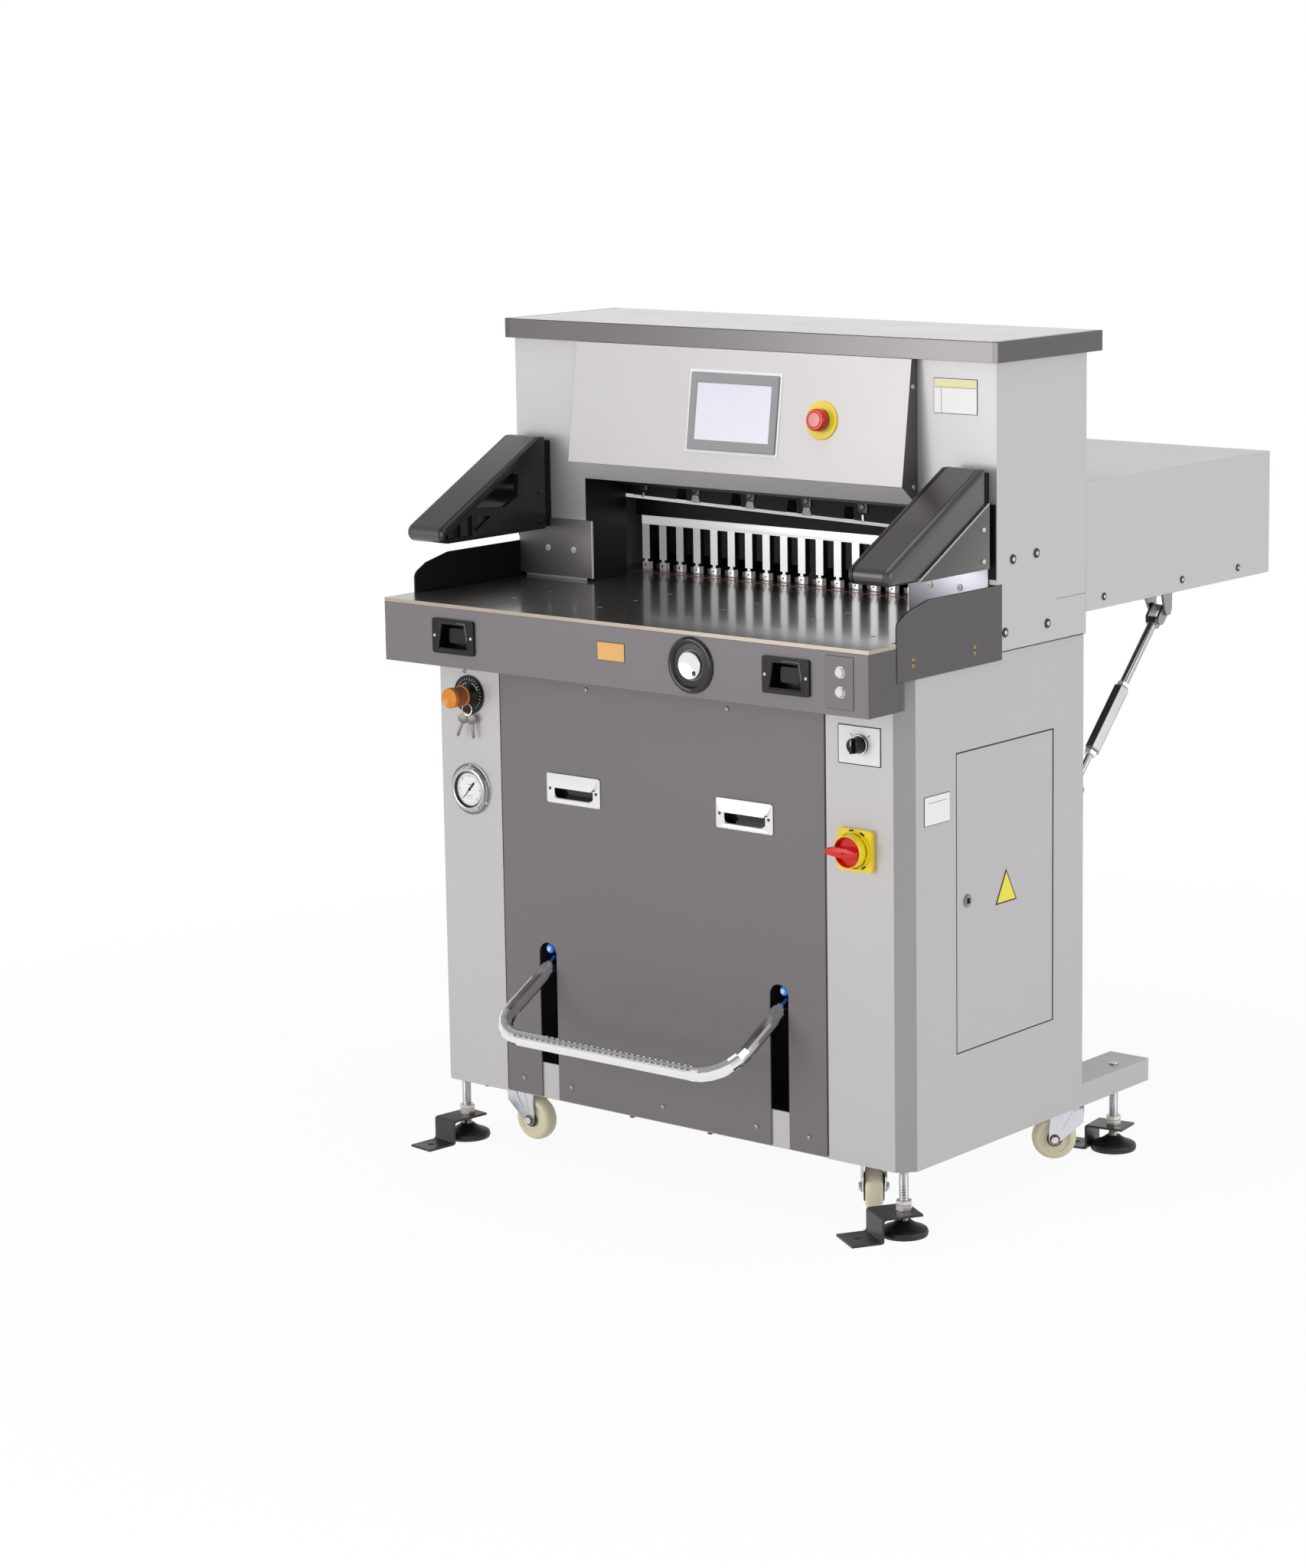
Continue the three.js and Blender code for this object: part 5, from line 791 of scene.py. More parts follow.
cap = Shape()
crown = [(15.8, 41), (16.5, 42), (16.5, 47.4), (16, 48.7), (14.8, 49.2), (14.2, 48.8), (0.4, 48.8)]
cap.add(turned(crown, 48), dial_place, orange_plastic)
ridge, groove = polygon(15.9, 96), polygon(15.2, 96)
skirt = [(ridge if i % 4 < 2 else groove)[i] for i in range(96)]
cap.add(slab(skirt, 20, 41.2), dial_place, collar_brown)
cap.add(turned([(14, 17), (17.2, 18), (17.2, 20.4), (15.4, 21.4)], 48), dial_place, orange_plastic)
cap.add(turned([(10.5, 3.3), (10.5, 9), (12.5, 14.5)]), dial_place, chrome)
cap.finish("pressure_cap", "pressure_setting", "orange_plastic", replaces=["pressure_knob"])

key_nickel = metal("key_nickel", (0.16, 0.15, 0.14), 0.35, smear=0.12)
keys = Shape()
loop = [at(-388 + 8.5 * math.cos(a), -13 + 2 * math.cos(a), 627 + 9.5 * math.sin(a))
        for a in (math.tau * i / 24 for i in range(25))]
keys.add(swept(loop, polygon(0.0007)), Matrix.Identity(4), chrome)
for x, y, lean in ((-394, -12, -0.35), (-383, -9, 0.12)):
    place = facing(x, y, 619, (0.25, -1, 0.05), lean)
    bow = [(9.5 * px, 8 * py - 8) for px, py in polygon(1, 20)]
    keys.add(slab(bow, -1, 1, 0.3), place, key_nickel)
    blade = [(-2.6, -14), (-2.6, -37), (-0.5, -40), (2.6, -37), (2.6, -33), (1.4, -31), (2.6, -29), (1.5, -26),
             (2.6, -24), (2.6, -14)]
    keys.add(slab(blade, -0.8, 0.8, 0.2), place, key_nickel)
keys.finish("keys", "base", "zinc")

# %% [markdown]
# ## Selector and main switch
# The selector knob gets its white pointer, and its plate two plain marks. The main switch is a yellow ring with
# a sunken red disc and a pointed grip, on a yellow plate with three dark slots.

# %% Selector and main switch
selector, switch = facing(395.8, 0, 651), facing(389.5, 0, 490.5)
marks = Shape()
for angle in (40, 140):
    spot = Matrix.Translation((*polar(21, angle), 0)) @ Matrix.Rotation(math.radians(angle), 4, "Z")
    marks.add(slab(rounded(5, 1.2, 0.4, 2), 0.8, 1.1), selector @ spot, dark_line)
marks.finish("selector_marks", "base", "black_plastic")
trim = Shape()
trim.add(turned([(15.6, 5.0), (15.6, 5.6), (14.9, 6.1), (13.6, 6.1), (13.4, 5.0)], 40), selector, chrome, True)
trim.add(slab(rounded(1.6, 9, 0.6, 2), 25.0, 25.25), moved(selector, 0, 5), white_plastic)
trim.finish("selector_trim", "selector", "white_plastic")

rotor = Shape()
outer_ring = [(25, 14.4), (25.2, 18), (25.2, 27), (24.6, 28.2), (23.9, 28.4), (23.6, 28), (23.6, 14.4)]
rotor.add(turned(outer_ring, 56), switch, yellow_plastic, True)
disc = [(23.5, 14.6), (23.5, 28), (22.9, 28.2), (22.3, 27.4), (21.8, 20.5), (3, 20.5)]
rotor.add(turned(disc, 56), switch, red_plastic)
grip = [(-34, 2.2), (-34, -2.2), (-30, -5.2), (-8, -8), (6, -8), (22.5, -3.6), (22.5, 3.6), (6, 8), (-8, 8),
        (-30, 5.2)]
rotor.add(slab(grip, 20, 38.6, 1.6), switch, red_plastic)
rotor.add(turned([(1.9, 38.3), (1.9, 38.75)], 20), switch, gloss_black)
rotor.finish("isolator_rotor", "main_switch", "red_plastic", replaces=["isolator_handle"])
details = Shape()
boss = [(29, 8.6), (29, 12.6), (27.8, 14), (25.8, 14), (25.6, 8.6)]
details.add(turned(boss, 56), switch, yellow_plastic, True)
for angle in (60, 100, -55):
    details.add(slab(rounded(2.6, 9, 1.3, 3), 8.9, 9.25), switch @ around(angle, 30.4), gloss_black)
details.finish("isolator_details", "base", "yellow_plastic")

# %% [markdown]
# ## Controls on the apron
# The two cut buttons sit deep in their housings behind a bevelled mouth. The fine-adjust wheel is a black ring
# round a chrome cap, and the two small buttons are white in chrome bezels.

# %% Controls on the apron
smoke = plastic("smoke_plastic", (0.035, 0.022, 0.018), 0.08, texture=0.0)
mouth = [(-32, -21), (32, -21), (25, 21), (-25, 21)]
LIP = ((0, -2.2), (0.5, -2.0), (0.9, -0.8), (0.4, 0.2), (-1.2, 0.9), (-1.4, 0.9), (-1.4, -2.2))
controls = Shape()
for side, _ in SIDES:
    place = facing(side * 333.5, APRON - 4, 761.2)
    controls.add(stack(mouth, LIP), place, gloss_black, True)
    for x in (-38.5, 38.5):
        controls.add(turned([(2.4, 0), (2.4, 0.6), (1.7, 1.3)], 16), moved(place, x), white_plastic)
    button = moved(place, 0, -1)
    controls.add(slab(rounded(24, 14, 2), -23.2, -14.1, 1.2), button, smoke)
    collar = rects((27, 17, 2.4, -14.3), (27, 17, 2.4, -13.4), (25, 15, 2.4, -13.4), (25, 15, 2.4, -14.3))
    controls.add(collar, button, dark_zinc, True)
controls.finish("housing_trim", "base", "black_plastic")

wheel_place = facing(150.5, APRON, 760.5)
wheel = Shape()
hand_ring = [(43.5, 0.2), (43.5, 1.6), (42.6, 3.0), (40.2, 4.4), (37.2, 4.6), (34.4, 3.4), (33.0, 1.6), (32.6, 0.5),
             (24.2, 0.5), (24.0, 0.2)]
wheel.add(turned(hand_ring, 72), wheel_place, gloss_black, True)
wheel.finish("handwheel_ring", "base", "black_plastic", replaces=["handwheel_bezel"])
knob = Shape()
knob_section = [(8, 0.4), (8, 1.4), (20.4, 1.5), (21.6, 2.1), (21.6, 3.9), (20.9, 5.2), (19.8, 5.7), (18.2, 5.4),
                (0.5, 5.2)]
knob.add(turned(knob_section, 64), wheel_place, chrome)
hollow = turned([(1.2, 3.6), (2.8, 3.9), (4.0, 5.6), (4.3, 7)], 24)
knob.finish("handwheel_cap", "handwheel", "chrome", replaces=["handwheel_knob"],
            cut=Shape().add(hollow, moved(wheel_place, 9.6, -11.2), gloss_black))

bezels = Shape()
bezel = turned([(9.0, 0.2), (9.0, 1.2), (8.5, 1.7), (7.9, 1.7), (7.7, 0.2)])
for z in (776.2, 746.6):
    bezels.add(bezel, facing(432.9, APRON, z), chrome, True)
bezels.finish("button_bezels", "base", "chrome")

# %% [markdown]
# ## Screen and emergency stop
# The console slopes back, so its fittings take their own plane. The screen has a white outer line, a grey
# bezel and a pale display; the stop button a red domed head with a moulded ring.

# %% Screen and emergency stop
SLOPE = math.atan2(40.6 - 14.6, 193)
SLOPE_OUT = (0, -math.cos(SLOPE), math.sin(SLOPE))
TOP_EDGE = (213.0, 1206.0)


def on_console(x, down, out=0.0):
    y = TOP_EDGE[0] - down * math.sin(SLOPE) - out * math.cos(SLOPE)
    z = TOP_EDGE[1] - down * math.cos(SLOPE) + out * math.sin(SLOPE)
    return facing(x, y, z, SLOPE_OUT)


screen_glass = Look("display", Roughness=0.12, Emission_Strength=0.3)
fade = screen_glass.axis("Z").between(1.15, 1.28)
glass_tone = screen_glass.blend(fade, (0.72, 0.7, 0.77), (0.66, 0.66, 0.75))
for socket in ("Base Color", "Emission Color"):
    screen_glass.feed(socket, glass_tone)
screen, screen_place = Shape(), on_console(0, 99)
white_line = rects((186, 132, 2, -4), (186, 132, 2, 0.9), (185, 131, 2, 1.2), (178, 123.4, 2, 1.2),
                   (178, 123.4, 2, -4))
screen.add(white_line, screen_place, plate_white, True)
grey_frame = rects((176.4, 121.6, 3, -4), (176.4, 121.6, 3, 3.3), (175, 120.2, 2.4, 3.9), (151, 92, 1.5, 3.9),
                   (149, 90, 1, 3.1), (149, 90, 1, -4))
screen.add(grey_frame, screen_place, grey_plastic, True)
screen.add(slab(rounded(149.4, 90.4, 1), -3, 2.9), screen_place, screen_glass.material)
screen.finish("screen_face", "base", "screen_plastic", replaces=["touch_screen"])

stop, stop_place = Shape(), on_console(175, 101.5)
head = [(14, 10.0), (17, 10.0), (17.6, 10.6), (17.6, 15.5), (17.1, 18), (15.8, 19.6), (13.6, 20.1), (12.9, 19.4),
        (12.1, 19.4), (11.5, 20.0), (8, 20.7), (0.5, 20.9)]
stop.add(turned(head, 56), stop_place, red_plastic)
# The top of the dome and its moulded ring are a lighter red: a painted highlight where the light falls from above.
stop.add(turned([(11.3, 20.2), (11.1, 20.9), (7, 21.3), (0.5, 21.4)], 48), stop_place, stop_red)
stop.add(turned([(14.6, 19.8), (14.6, 20.3), (13.6, 20.5), (13.6, 19.8)], 48), stop_place, stop_red, True)
# The brown neck under the head is painted shade.
stop.add(turned([(16, 6.4), (16, 10.4)], 40), stop_place, collar_brown)
stop.finish("stop_head", "emergency_stop", "red_plastic", replaces=["stop_button"])
collar = Shape()
collar_section = [(30.2, 0.2), (30.2, 1.9), (29.2, 2.6), (20.5, 2.6), (19.6, 3.6), (17.2, 3.6), (16.6, 2.4),
                  (16.6, 0.2)]
collar.add(turned(collar_section, 64), stop_place, yellow_plastic, True)
collar.finish("stop_collar_face", "base", "yellow_plastic", replaces=["stop_collar"])

# %% [markdown]
# ## Light-barrier arms
# Each arm is a moulded box: a black cheek on its inner side with the windows of the light barrier cut into it,
# a groove, the painted body, and a soft outer edge. A sheet bracket and a black housing carry it on the head.

# %% Light-barrier arms
NOSE_Y, NOSE_Z, NOSE_RADIUS = -26.3, 910.7, 14.7
nose = [(NOSE_Y + y, NOSE_Z + z) for y, z in (polar(NOSE_RADIUS, a) for a in range(119, 271, 10))]
arm_side = nose + [(207, 896), (207, 1047.5), (195, 1047.5)]
WINDOWS = [[(34, 946), (126, 996), (140, 992), (138, 957), (107, 942), (60, 944)],
           [(-34, 904), (-29, 904), (-29, 911), (-34, 909)], [(-25, 903), (0, 903), (0, 926), (-25, 913)],
           [(5, 903), (28, 903), (28, 937), (5, 929)], [(34, 936), (74, 931), (40, 911), (34, 908)]]
ARM_INSIDE, BODY_INSIDE = 405, 414.8
BODY = ((54.7, 0), (55, 0.9), (55.8, 0.9), (56.2, 0), (59.7, 0.7), (62.2, 2.6), (64.2, 5.2), (65.2, 9))
cheek_paint = plastic("cheek_plastic", (0.016, 0.015, 0.016), 0.3, texture=0.00001)
for side, word in SIDES:
    place = sided(side, facing(0, 0, 0, RIGHT))
    cheek, cutter = Shape(), Shape()
    cheek.add(stack(arm_side, ((0, 2.5), (0.8, 0.8), (2.5, 0), (8, 0)), ARM_INSIDE), place, cheek_paint)
    for window in WINDOWS:
        cutter.add(slab(window, 400, 409), place, gloss_black)
    cheek.finish("arm_cheek_" + word, "base", "black_plastic", cut=cutter)
    arm = Shape()
    arm.add(stack(arm_side, ((0, 1.2), (2.2, 1.2)), 412.8), place, gloss_black)
    wider = 0 if side > 0 else 7
    arm.add(stack(arm_side, [(0, 0)] + [(h + wider, d) for h, d in BODY], BODY_INSIDE), place, arm_paint)
    arm.finish("arm_body_" + word, "base", "dark_grey_paint", replaces=["arm_" + word], sharp=30)
    hold = Shape()
    hold.add(slab([(29, 897), (209, 897), (209, 995)], 482, HEAD_SIDE, 0.3), place, arm_paint)
    hold.add(slab([(60, 899), (205, 899), (205, 975)], 478, 482.2), place, black_paint)
    # A light rod along the bracket's slanted edge is a painted highlight where the edge catches the light.
    edge = [(-1.3, -1.3), (1.3, -1.3), (1.3, 1.3), (-1.3, 1.3)]
    hold.add(swept([(29, 897.4, 483), (209, 995.4, 483)], edge), place, light_paint)
    block(hold, (412, 470), (200, 227.3), (899, 1040), throat_black, side=side)
    block(hold, (471, 482.7), (224.9, 227.3), (878, 992), throat_black, side=side)
    screw = turned([(4, 0), (4, 0.9), (3.4, 1.8), (1.2, 2.2)], 20)
    for z in (958, 910):
        hold.add(screw, sided(side, facing(HEAD_SIDE, 193, z, RIGHT)), zinc)
        hold.add(screw, sided(side, facing(ARM_INSIDE, 193, z, LEFT)), dark_zinc)
    hold.finish("arm_bracket_" + word, "base", "dark_grey_paint")

# %% [markdown]
# ## Side guards and throat plates
# The guards are sheet steel: painted outside, black inside, with two slots where the brass clamping screws show.
# The throat plates are bent sheet with a bright edge and two white screws.

# %% Side guards and throat plates
guard_side = [(240.5, 754.2), (240.5, 869.5), (60, 869.5), (52, 869.3), (0, 857.5), (-21, 846), (-25.5, 841),
              (-27, 836), (-27, 754.2)]
SLOT_RIM = rects((9.4, 18.4, 4.7, -0.2), (9.4, 18.4, 4.7, 0.25), (8, 17, 4, 0.25), (8, 17, 4, -0.2))
for side, word in SIDES:
    place = sided(side, facing(0, 0, 0, RIGHT))
    guard = Shape()
    guard.add(stack(guard_side, ((0, 0), (1.9, 0)), 481.5), place, throat_black)
    guard.add(stack(guard_side, ((0, 0), (1.1, 0), (1.5, 0.4)), 483.4), place, guard_paint)
    block(guard, (469.6, 481.6), (-20.8, 240.5), (754.5, 811.8), throat_black, 0.6, UP, side)
    block(guard, (482.1, HEAD_SIDE), (-21, -8), (711.6, 753.4), apron_paint, 0.3, RIGHT, side)
    for y, z in ((12.6, 780.6), (169.3, 778.8)):
        slot = sided(side, facing(484.9, y, z, RIGHT))
        guard.add(SLOT_RIM, slot, brass, True)
        guard.add(slab(rounded(8.2, 17.2, 4.1), -0.2, 0.05), slot, gloss_black)
        for up in (-4.4, 4.2):
            guard.add(turned([(3.1, 0), (3.0, 0.5), (2.2, 0.8), (1.0, 0.5)], 20), moved(slot, -0.8, up), brass)
    guard.finish("guard_" + word, "base", "dark_grey_paint", replaces=["side_guard_" + word])

    shield = Shape()
    # The two throat plates are alike, but they are lit and shaded copies: the right one's lighter steel is painted
    # light, and the left one's dark paint is painted shade.
    face = plate_steel if side > 0 else dark_paint
    block(shield, (322, 469.5 if side > 0 else 480.5), (224.7, 227.2), (817, 912), face, 0.3, FRONT, side)
    block(shield, (320.8, 322.2), (223.8, 227.2), (817, 912), plate_white, 0.3, FRONT, side)
    for x in (361.5, 417.5):
        for rings, roll, finish in ((turned([(5.4, 0), (5.4, 0.8), (4.6, 1.6), (2.4, 1.9)], 24), 0.0, white_plastic),
                                    (slab(rounded(5.2, 1.0, 0.4, 2), 1.7, 2.0), 0.5, strip_grey)):
            shield.add(rings, sided(side, facing(x, 224.7, 861.8, FRONT, roll)), finish)
    shield.finish("throat_shield_" + word, "base", "dark_grey_paint", replaces=["throat_plate_" + word])

# %% [markdown]
# ## Knife edge and comb feet
# Along the lower edge of the knife carrier runs a bright strip, with five screwed brackets over it. Each bar of
# the back gauge's comb ends in a white block that slides on the table.

# %% Knife edge and comb feet
# The knife strip and the band along the comb glow: painted light for polished edges lit from the front.
bright_band = metal("bright_band", (0.86, 0.86, 0.86), 0.3, glow=0.48)
rail_steel = paint("rail_grey", (0.5, 0.5, 0.5), 0.4)
strip = Shape()
knife_edge = [at(-391, 334.5, 944.6), at(337.6, 334.5, 926.6)]
flat_bar = [(-0.0028, -0.001), (0.0028, -0.001), (0.0028, 0.001), (-0.0028, 0.001)]
strip.add(swept(knife_edge, flat_bar), Matrix.Identity(4), bright_band)
BRACKETS = ((-302.7, 957), (-191.2, 956.3), (-77, 953.9), (38.9, 951.9), (151.4, 949.9))
for i, (x, z) in enumerate(BRACKETS):
    place = facing(x, 335.2, z)
    strip.add(slab(rounded(20, 20, 1.5), 0, 2.6, 0.6), moved(place, 0, 6), black_paint)
    strip.add(turned([(5, 2.4), (5, 3.6), (4, 4.4), (1.5, 4.5)], 24), moved(place, 0, 6), dark_zinc)
    if 0 < i < 4:
        strip.add(slab([(-10, -18), (10, -18), (6, -4), (-6, -4)], 0, 1.8, 0.4), place, rail_steel)
    else:
        strip.add(slab(rounded(5, 12, 1.2), 0, 2.2, 0.5), moved(place, 0, -12), plate_steel)
strip.finish("knife_strip", "knife_unit", "bright_steel")

BARS, FIRST_BAR, BAR_PITCH = 20, -348.65, 36.7
feet = Shape()
for i in range(BARS):
    place = facing(FIRST_BAR + BAR_PITCH * i, 393, 818.5)
    feet.add(slab(rounded(13, 12.5, 1.2), -9, 1.6, 0.8), place, white_zinc)
    feet.add(turned([(1.7, 1.5), (1.7, 1.75)], 16), moved(place, 0, 1), gloss_black)
    if i:
        feet.add(slab(rounded(8, 10, 1), -14, -4, 0.5), moved(place, -13.5, -1), guard_paint)
feet.finish("comb_feet", "gauge_carriage", "white_plastic")
band = Shape()
block(band, (-355.5, 355.5), (391.6, 393.2), (889, 905), bright_band, 0.4, FRONT)
band.finish("comb_band", "gauge_carriage", "bright_steel")

# %% [markdown]
# ## Air-bed valves
# The table blows a cushion of air through ball valves: a ring with a dark ball in it, on a grid.

# %% Air-bed valves
TABLE_TOP = 812
valves = [(x, y, TABLE_TOP, UP, 1.0) for y in (16, 102, 187) for x in (-305, -125, 53, 232, 408)]
valve_ring = Shape().add(turned([(4.2, 0), (4.2, 0.14), (3.7, 0.24), (2.5, 0.24), (2.2, 0.0)], 20), MM, zinc, True)
copied("valve_rings", valve_ring, valves, zinc, "base")
valve_ball = Shape().add(turned([(2.1, 0), (1.6, 0.3), (0.8, 0.42), (0.1, 0.45)], 16), MM, zinc)
copied("valve_balls", valve_ball, valves, gloss_black, "base")

# %% [markdown]
# ## Pull handles
# A recessed handle: a chrome frame, a hood that leans out over the grip, and a black pocket behind it.

# %% Pull handles
MOUTH_DROP = -4.5
chrome_rings = rects((111, 49, 4, 0.2), (111, 49, 4, 1.8), (109.4, 47.4, 3.4, 2.8), (105, 43, 2, 2.8))
chrome_rings += rects((84, 26, 11, 2.8), (80, 22, 9, 1.4), (80, 22, 9, -14), lift=MOUTH_DROP)
hood = [[(-x, y, low), (x, y, low), (x, y, high), (-x, y, high)] for x, y, low, high in
        ((53, 22, 0.4, 2.9), (50, 14, 0.4, 5.6), (41.5, 3.3, 5.2, 8.6), (41.2, 2.2, 5.6, 8.0))]
lining = rects((79.8, 21.8, 8.9, 0.6), (79.8, 21.8, 8.9, -13.6), (79, 21, 8.5, -13.6), (79, 21, 8.5, 0.6),
               lift=MOUTH_DROP)
for side, word in SIDES:
    place = facing(side * 173.5, 0, 516.5)
    pull = Shape()
    pull.add(chrome_rings, place, chrome, True)
    pull.add(hood, place, chrome)
    pull.add(slab(rounded(79.6, 21.6, 8.8), -14.4, -13.4), moved(place, 0, MOUTH_DROP), gloss_black)
    pull.add(lining, place, gloss_black, True)
    for x in (-48, 48):
        pull.add(turned([(2.6, 2.6), (2.6, 3.2), (1.8, 3.8), (0.6, 3.6)], 16), moved(place, x, -1), dark_zinc)
    pull.finish("pull_" + word, "base", "chrome", replaces=["pull_handle_" + word])

# %% [markdown]
# ## Levelling feet
# A threaded stud with three nuts, a domed rubber pad, and a bent floor bracket under the nuts. The front brackets
# stand as they were left in the picture, one pointing forwards and one inwards.

# %% Levelling feet
stud_steel = metal("stud_steel", (0.5, 0.49, 0.5), 0.22, smear=0.1)
nut_steel = metal("nut_steel", (0.72, 0.68, 0.66), 0.3, smear=0.14, edge=0.0003)
PAD = [(33, 0), (36.4, 1), (37, 3), (37, 8), (36, 10.4), (33.2, 12.2), (27, 14.6), (19, 18.4), (13, 22.6), (11, 24.4),
       (8, 25)]
PITCH, THREADS = 2.5, 49


def levelling_foot(name, x, y, ahead, leg, height, width, plate, back):
    """`leg` is how far ahead of the stud the bracket turns down; `plate` and `back` are the lengths beyond it."""
    angle = math.atan2(ahead[1], ahead[0])
    place = Matrix.Translation(at(x, y, -FLOOR_DROP)) @ Matrix.Rotation(angle, 4, "Z") @ MM
    foot = Shape()
    foot.add(turned(PAD, 56), place, rubber)
    foot.add(turned([(37.1, 4.4), (37.6, 5.2), (37.6, 6.0), (37.1, 6.8)], 56), place, rubber)
    thread = [(7.5, 24)]
    for i in range(THREADS):
        thread += [(7.5, 24.5 + PITCH * i), (7.05, 25.7 + PITCH * i)]
    foot.add(turned(thread, 20), place, stud_steel)
    for low, tall in ((height, 8.5), (height + 9, 6.5), (101.5, 4.2)):
        foot.add(turned([(11.4, 0), (11.4, tall)], 24), moved(place, 0, 0, low), nut_steel)
        foot.add(slab(polygon(13.2), 0.6, tall - 0.6), moved(place, 0, 0, low), nut_steel)
    t, r = 3.6, 4.0
    outer = [(leg - back, height), (leg - r, height), (leg - r * 0.3, height - r * 0.3), (leg, height - r),
             (leg, r * 1.2 + t), (leg + r * 0.35, t + r * 0.35), (leg + r * 1.2, t), (leg + plate, t)]
    inner = [(leg + plate, 0), (leg + r * 0.4, 0), (leg - t * 0.7, t * 0.3), (leg - t, t), (leg - t, height - r - t),
             (leg - t - r * 0.3, height - t - r * 0.3), (leg - t - r, height - t), (leg - back, height - t)]
    bracket, holes = Shape(), Shape()
    upright = place @ Matrix.Rotation(math.pi / 2, 4, "X")
    bracket.add(slab(outer + inner, -width / 2, width / 2), upright, black_paint)
    holes.add(turned([(5.5, -3), (5.5, 8)], 24), moved(place, leg + plate * 0.56), black_paint)
    bracket.finish("foot_bracket_" + name, "base", "black_paint", cut=holes, sharp=25)
    foot.finish("foot_" + name, "base", "black_paint", replaces=["levelling_foot_" + name], sharp=25)


levelling_foot("front_left", -450, 30, (-0.12, -1), 50, 41, 47, 52, 72)
levelling_foot("front_right", 450, 30, (-0.52, -0.85), 49, 40, 66, 49, 67)
levelling_foot("rear_left", -455, 600, (1, -0.15), 40, 42, 50, 46, 66)
levelling_foot("rear_right", 455, 600, (-1, -0.15), 40, 42, 50, 46, 66)

# %% [markdown]
# ## Casters
# A pressed zinc fork with a swivel race, a ribbed leg on each side with a rounded lower end, and a cream nylon
# wheel with a crowned tread and a dark thread guard on each side of its hub.

# %% Casters
fork_zinc = metal("fork_zinc", (0.66, 0.67, 0.72), 0.22, depth=0.00003, smear=0.14, edge=0.0005)
AXLE = (25, -64)
RACE = [(27, -4.6), (27, -6.4), (24.5, -8.6), (23.6, -9.2), (24.4, -9.8), (23.4, -12.4), (20, -13.8)]
FORK_TOP = [(-20, -18.2), (24, -18.2), (30, -12), (30, 12), (24, 18.2), (-20, 18.2), (-23, 12), (-23, -12)]
FORK_LEG = [(-23, -15), (-21, -36), (6, -59)]
FORK_LEG += [(AXLE[0] + x, AXLE[1] + y) for x, y in (polar(9.5, a) for a in range(200, 361, 16))]
FORK_LEG += [(34, -50), (31, -15)]
RIBS = ([(-10, -17), (-4, -17), (12, -46), (10, -49), (6, -46)],
        [(10, -17), (16, -17), (23, -48), (21, -51), (18, -48)])
TREAD = [(5.2, 13.2), (10, 13.2), (10.5, 12.2), (12, 11.8), (21, 11), (23, 11.4), (24, 12.9), (27.5, 13.8), (31, 13),
         (33.6, 10.6), (35.2, 7), (35.9, 3.5)]


def caster(name, x, y, trail, guard=12.5):
    """`trail` is the way the wheel trails, and `guard` the radius of its thread guards."""
    angle = math.atan2(trail[1], trail[0])
    place = Matrix.Translation(at(x, y, 0)) @ Matrix.Rotation(angle, 4, "Z") @ MM
    across = place @ Matrix.Translation((AXLE[0], 0, AXLE[1])) @ Matrix.Rotation(math.pi / 2, 4, "X")
    upright = place @ Matrix.Rotation(math.pi / 2, 4, "X")
    fork = Shape()
    fork.add(turned(RACE, 40), place, fork_zinc)
    fork.add(turned([(8, -13.5), (8, -17.5), (6.4, -18.6)], 6), place, nut_steel)
    fork.add(slab(FORK_TOP, -15.5, -12.8), place, fork_zinc)
    for side, _ in SIDES:
        for outline, near, far in ((FORK_LEG, 16.4, 19.2), (RIBS[0], 19.0, 20.6), (RIBS[1], 19.0, 20.6)):
            fork.add(slab(outline, *sorted((side * near, side * far))), upright, fork_zinc)
        for profile, steps, finish in (
                ([(8.6, 19.1), (8.6, 20.1), (7.6, 20.6)], 24, dark_zinc),
                ([(6.4, 20.0), (6.4, 23.4), (5.4, 24.4), (1.6, 24.4)], 6, nut_steel),
                ([(guard - 1.5, 13.4), (guard, 14.2), (guard, 15.6), (guard - 3, 16.2)], 32, rubber)):
            fork.add(turned([(r, side * h) for r, h in profile], steps), across, finish)
    fork.finish("fork_" + name, "swivel_" + name, "zinc", replaces=["caster_fork_" + name], sharp=28)
    tyre = Shape()
    tyre.add(turned([(r, -h) for r, h in TREAD] + [(36, 0)] + TREAD[::-1], 56), across, nylon)
    tyre.finish("tyre_" + name, "wheel_" + name, "nylon", replaces=["caster_wheel_" + name])


caster("front_left", -360, 75, (1, 0))
caster("front_right", 360, 75, (-0.606, 0.776), 23)
caster("rear_left", -436, 500, (0, -1))
caster("rear_right", 436, 500, (-0.789, -0.614))

# %% [markdown]
# ## Turnbuckle struts
# Two rods screw into a hexagon sleeve, each with a lock nut, and a clevis holds the upper one under the table.

# %% Turnbuckle struts
def towards(a, b):
    """A drawing plane at a whose out direction runs to b, and the distance."""
    a, b = at(*a), at(*b)
    turn = (b - a).to_track_quat("Z", "X").to_matrix().to_4x4()
    return Matrix.Translation(a) @ turn @ MM, (b - a).length * 1000


rod_steel = metal("rod_steel", (0.5, 0.5, 0.5), 0.16, smear=0.08)
strut_dark = metal("strut_dark", (0.33, 0.33, 0.33), 0.25, smear=0.12, edge=0.0005)
UPPER_EYE, LOWER_EYE = (737, 769), (486, 510)
LEAN = math.atan2(LOWER_EYE[1] - UPPER_EYE[1], LOWER_EYE[0] - UPPER_EYE[0]) + math.pi / 2
SLEEVE = polygon(13.4, start=0.5)
NUT, NUT_EDGE = 0.78, 0.78 * 0.9


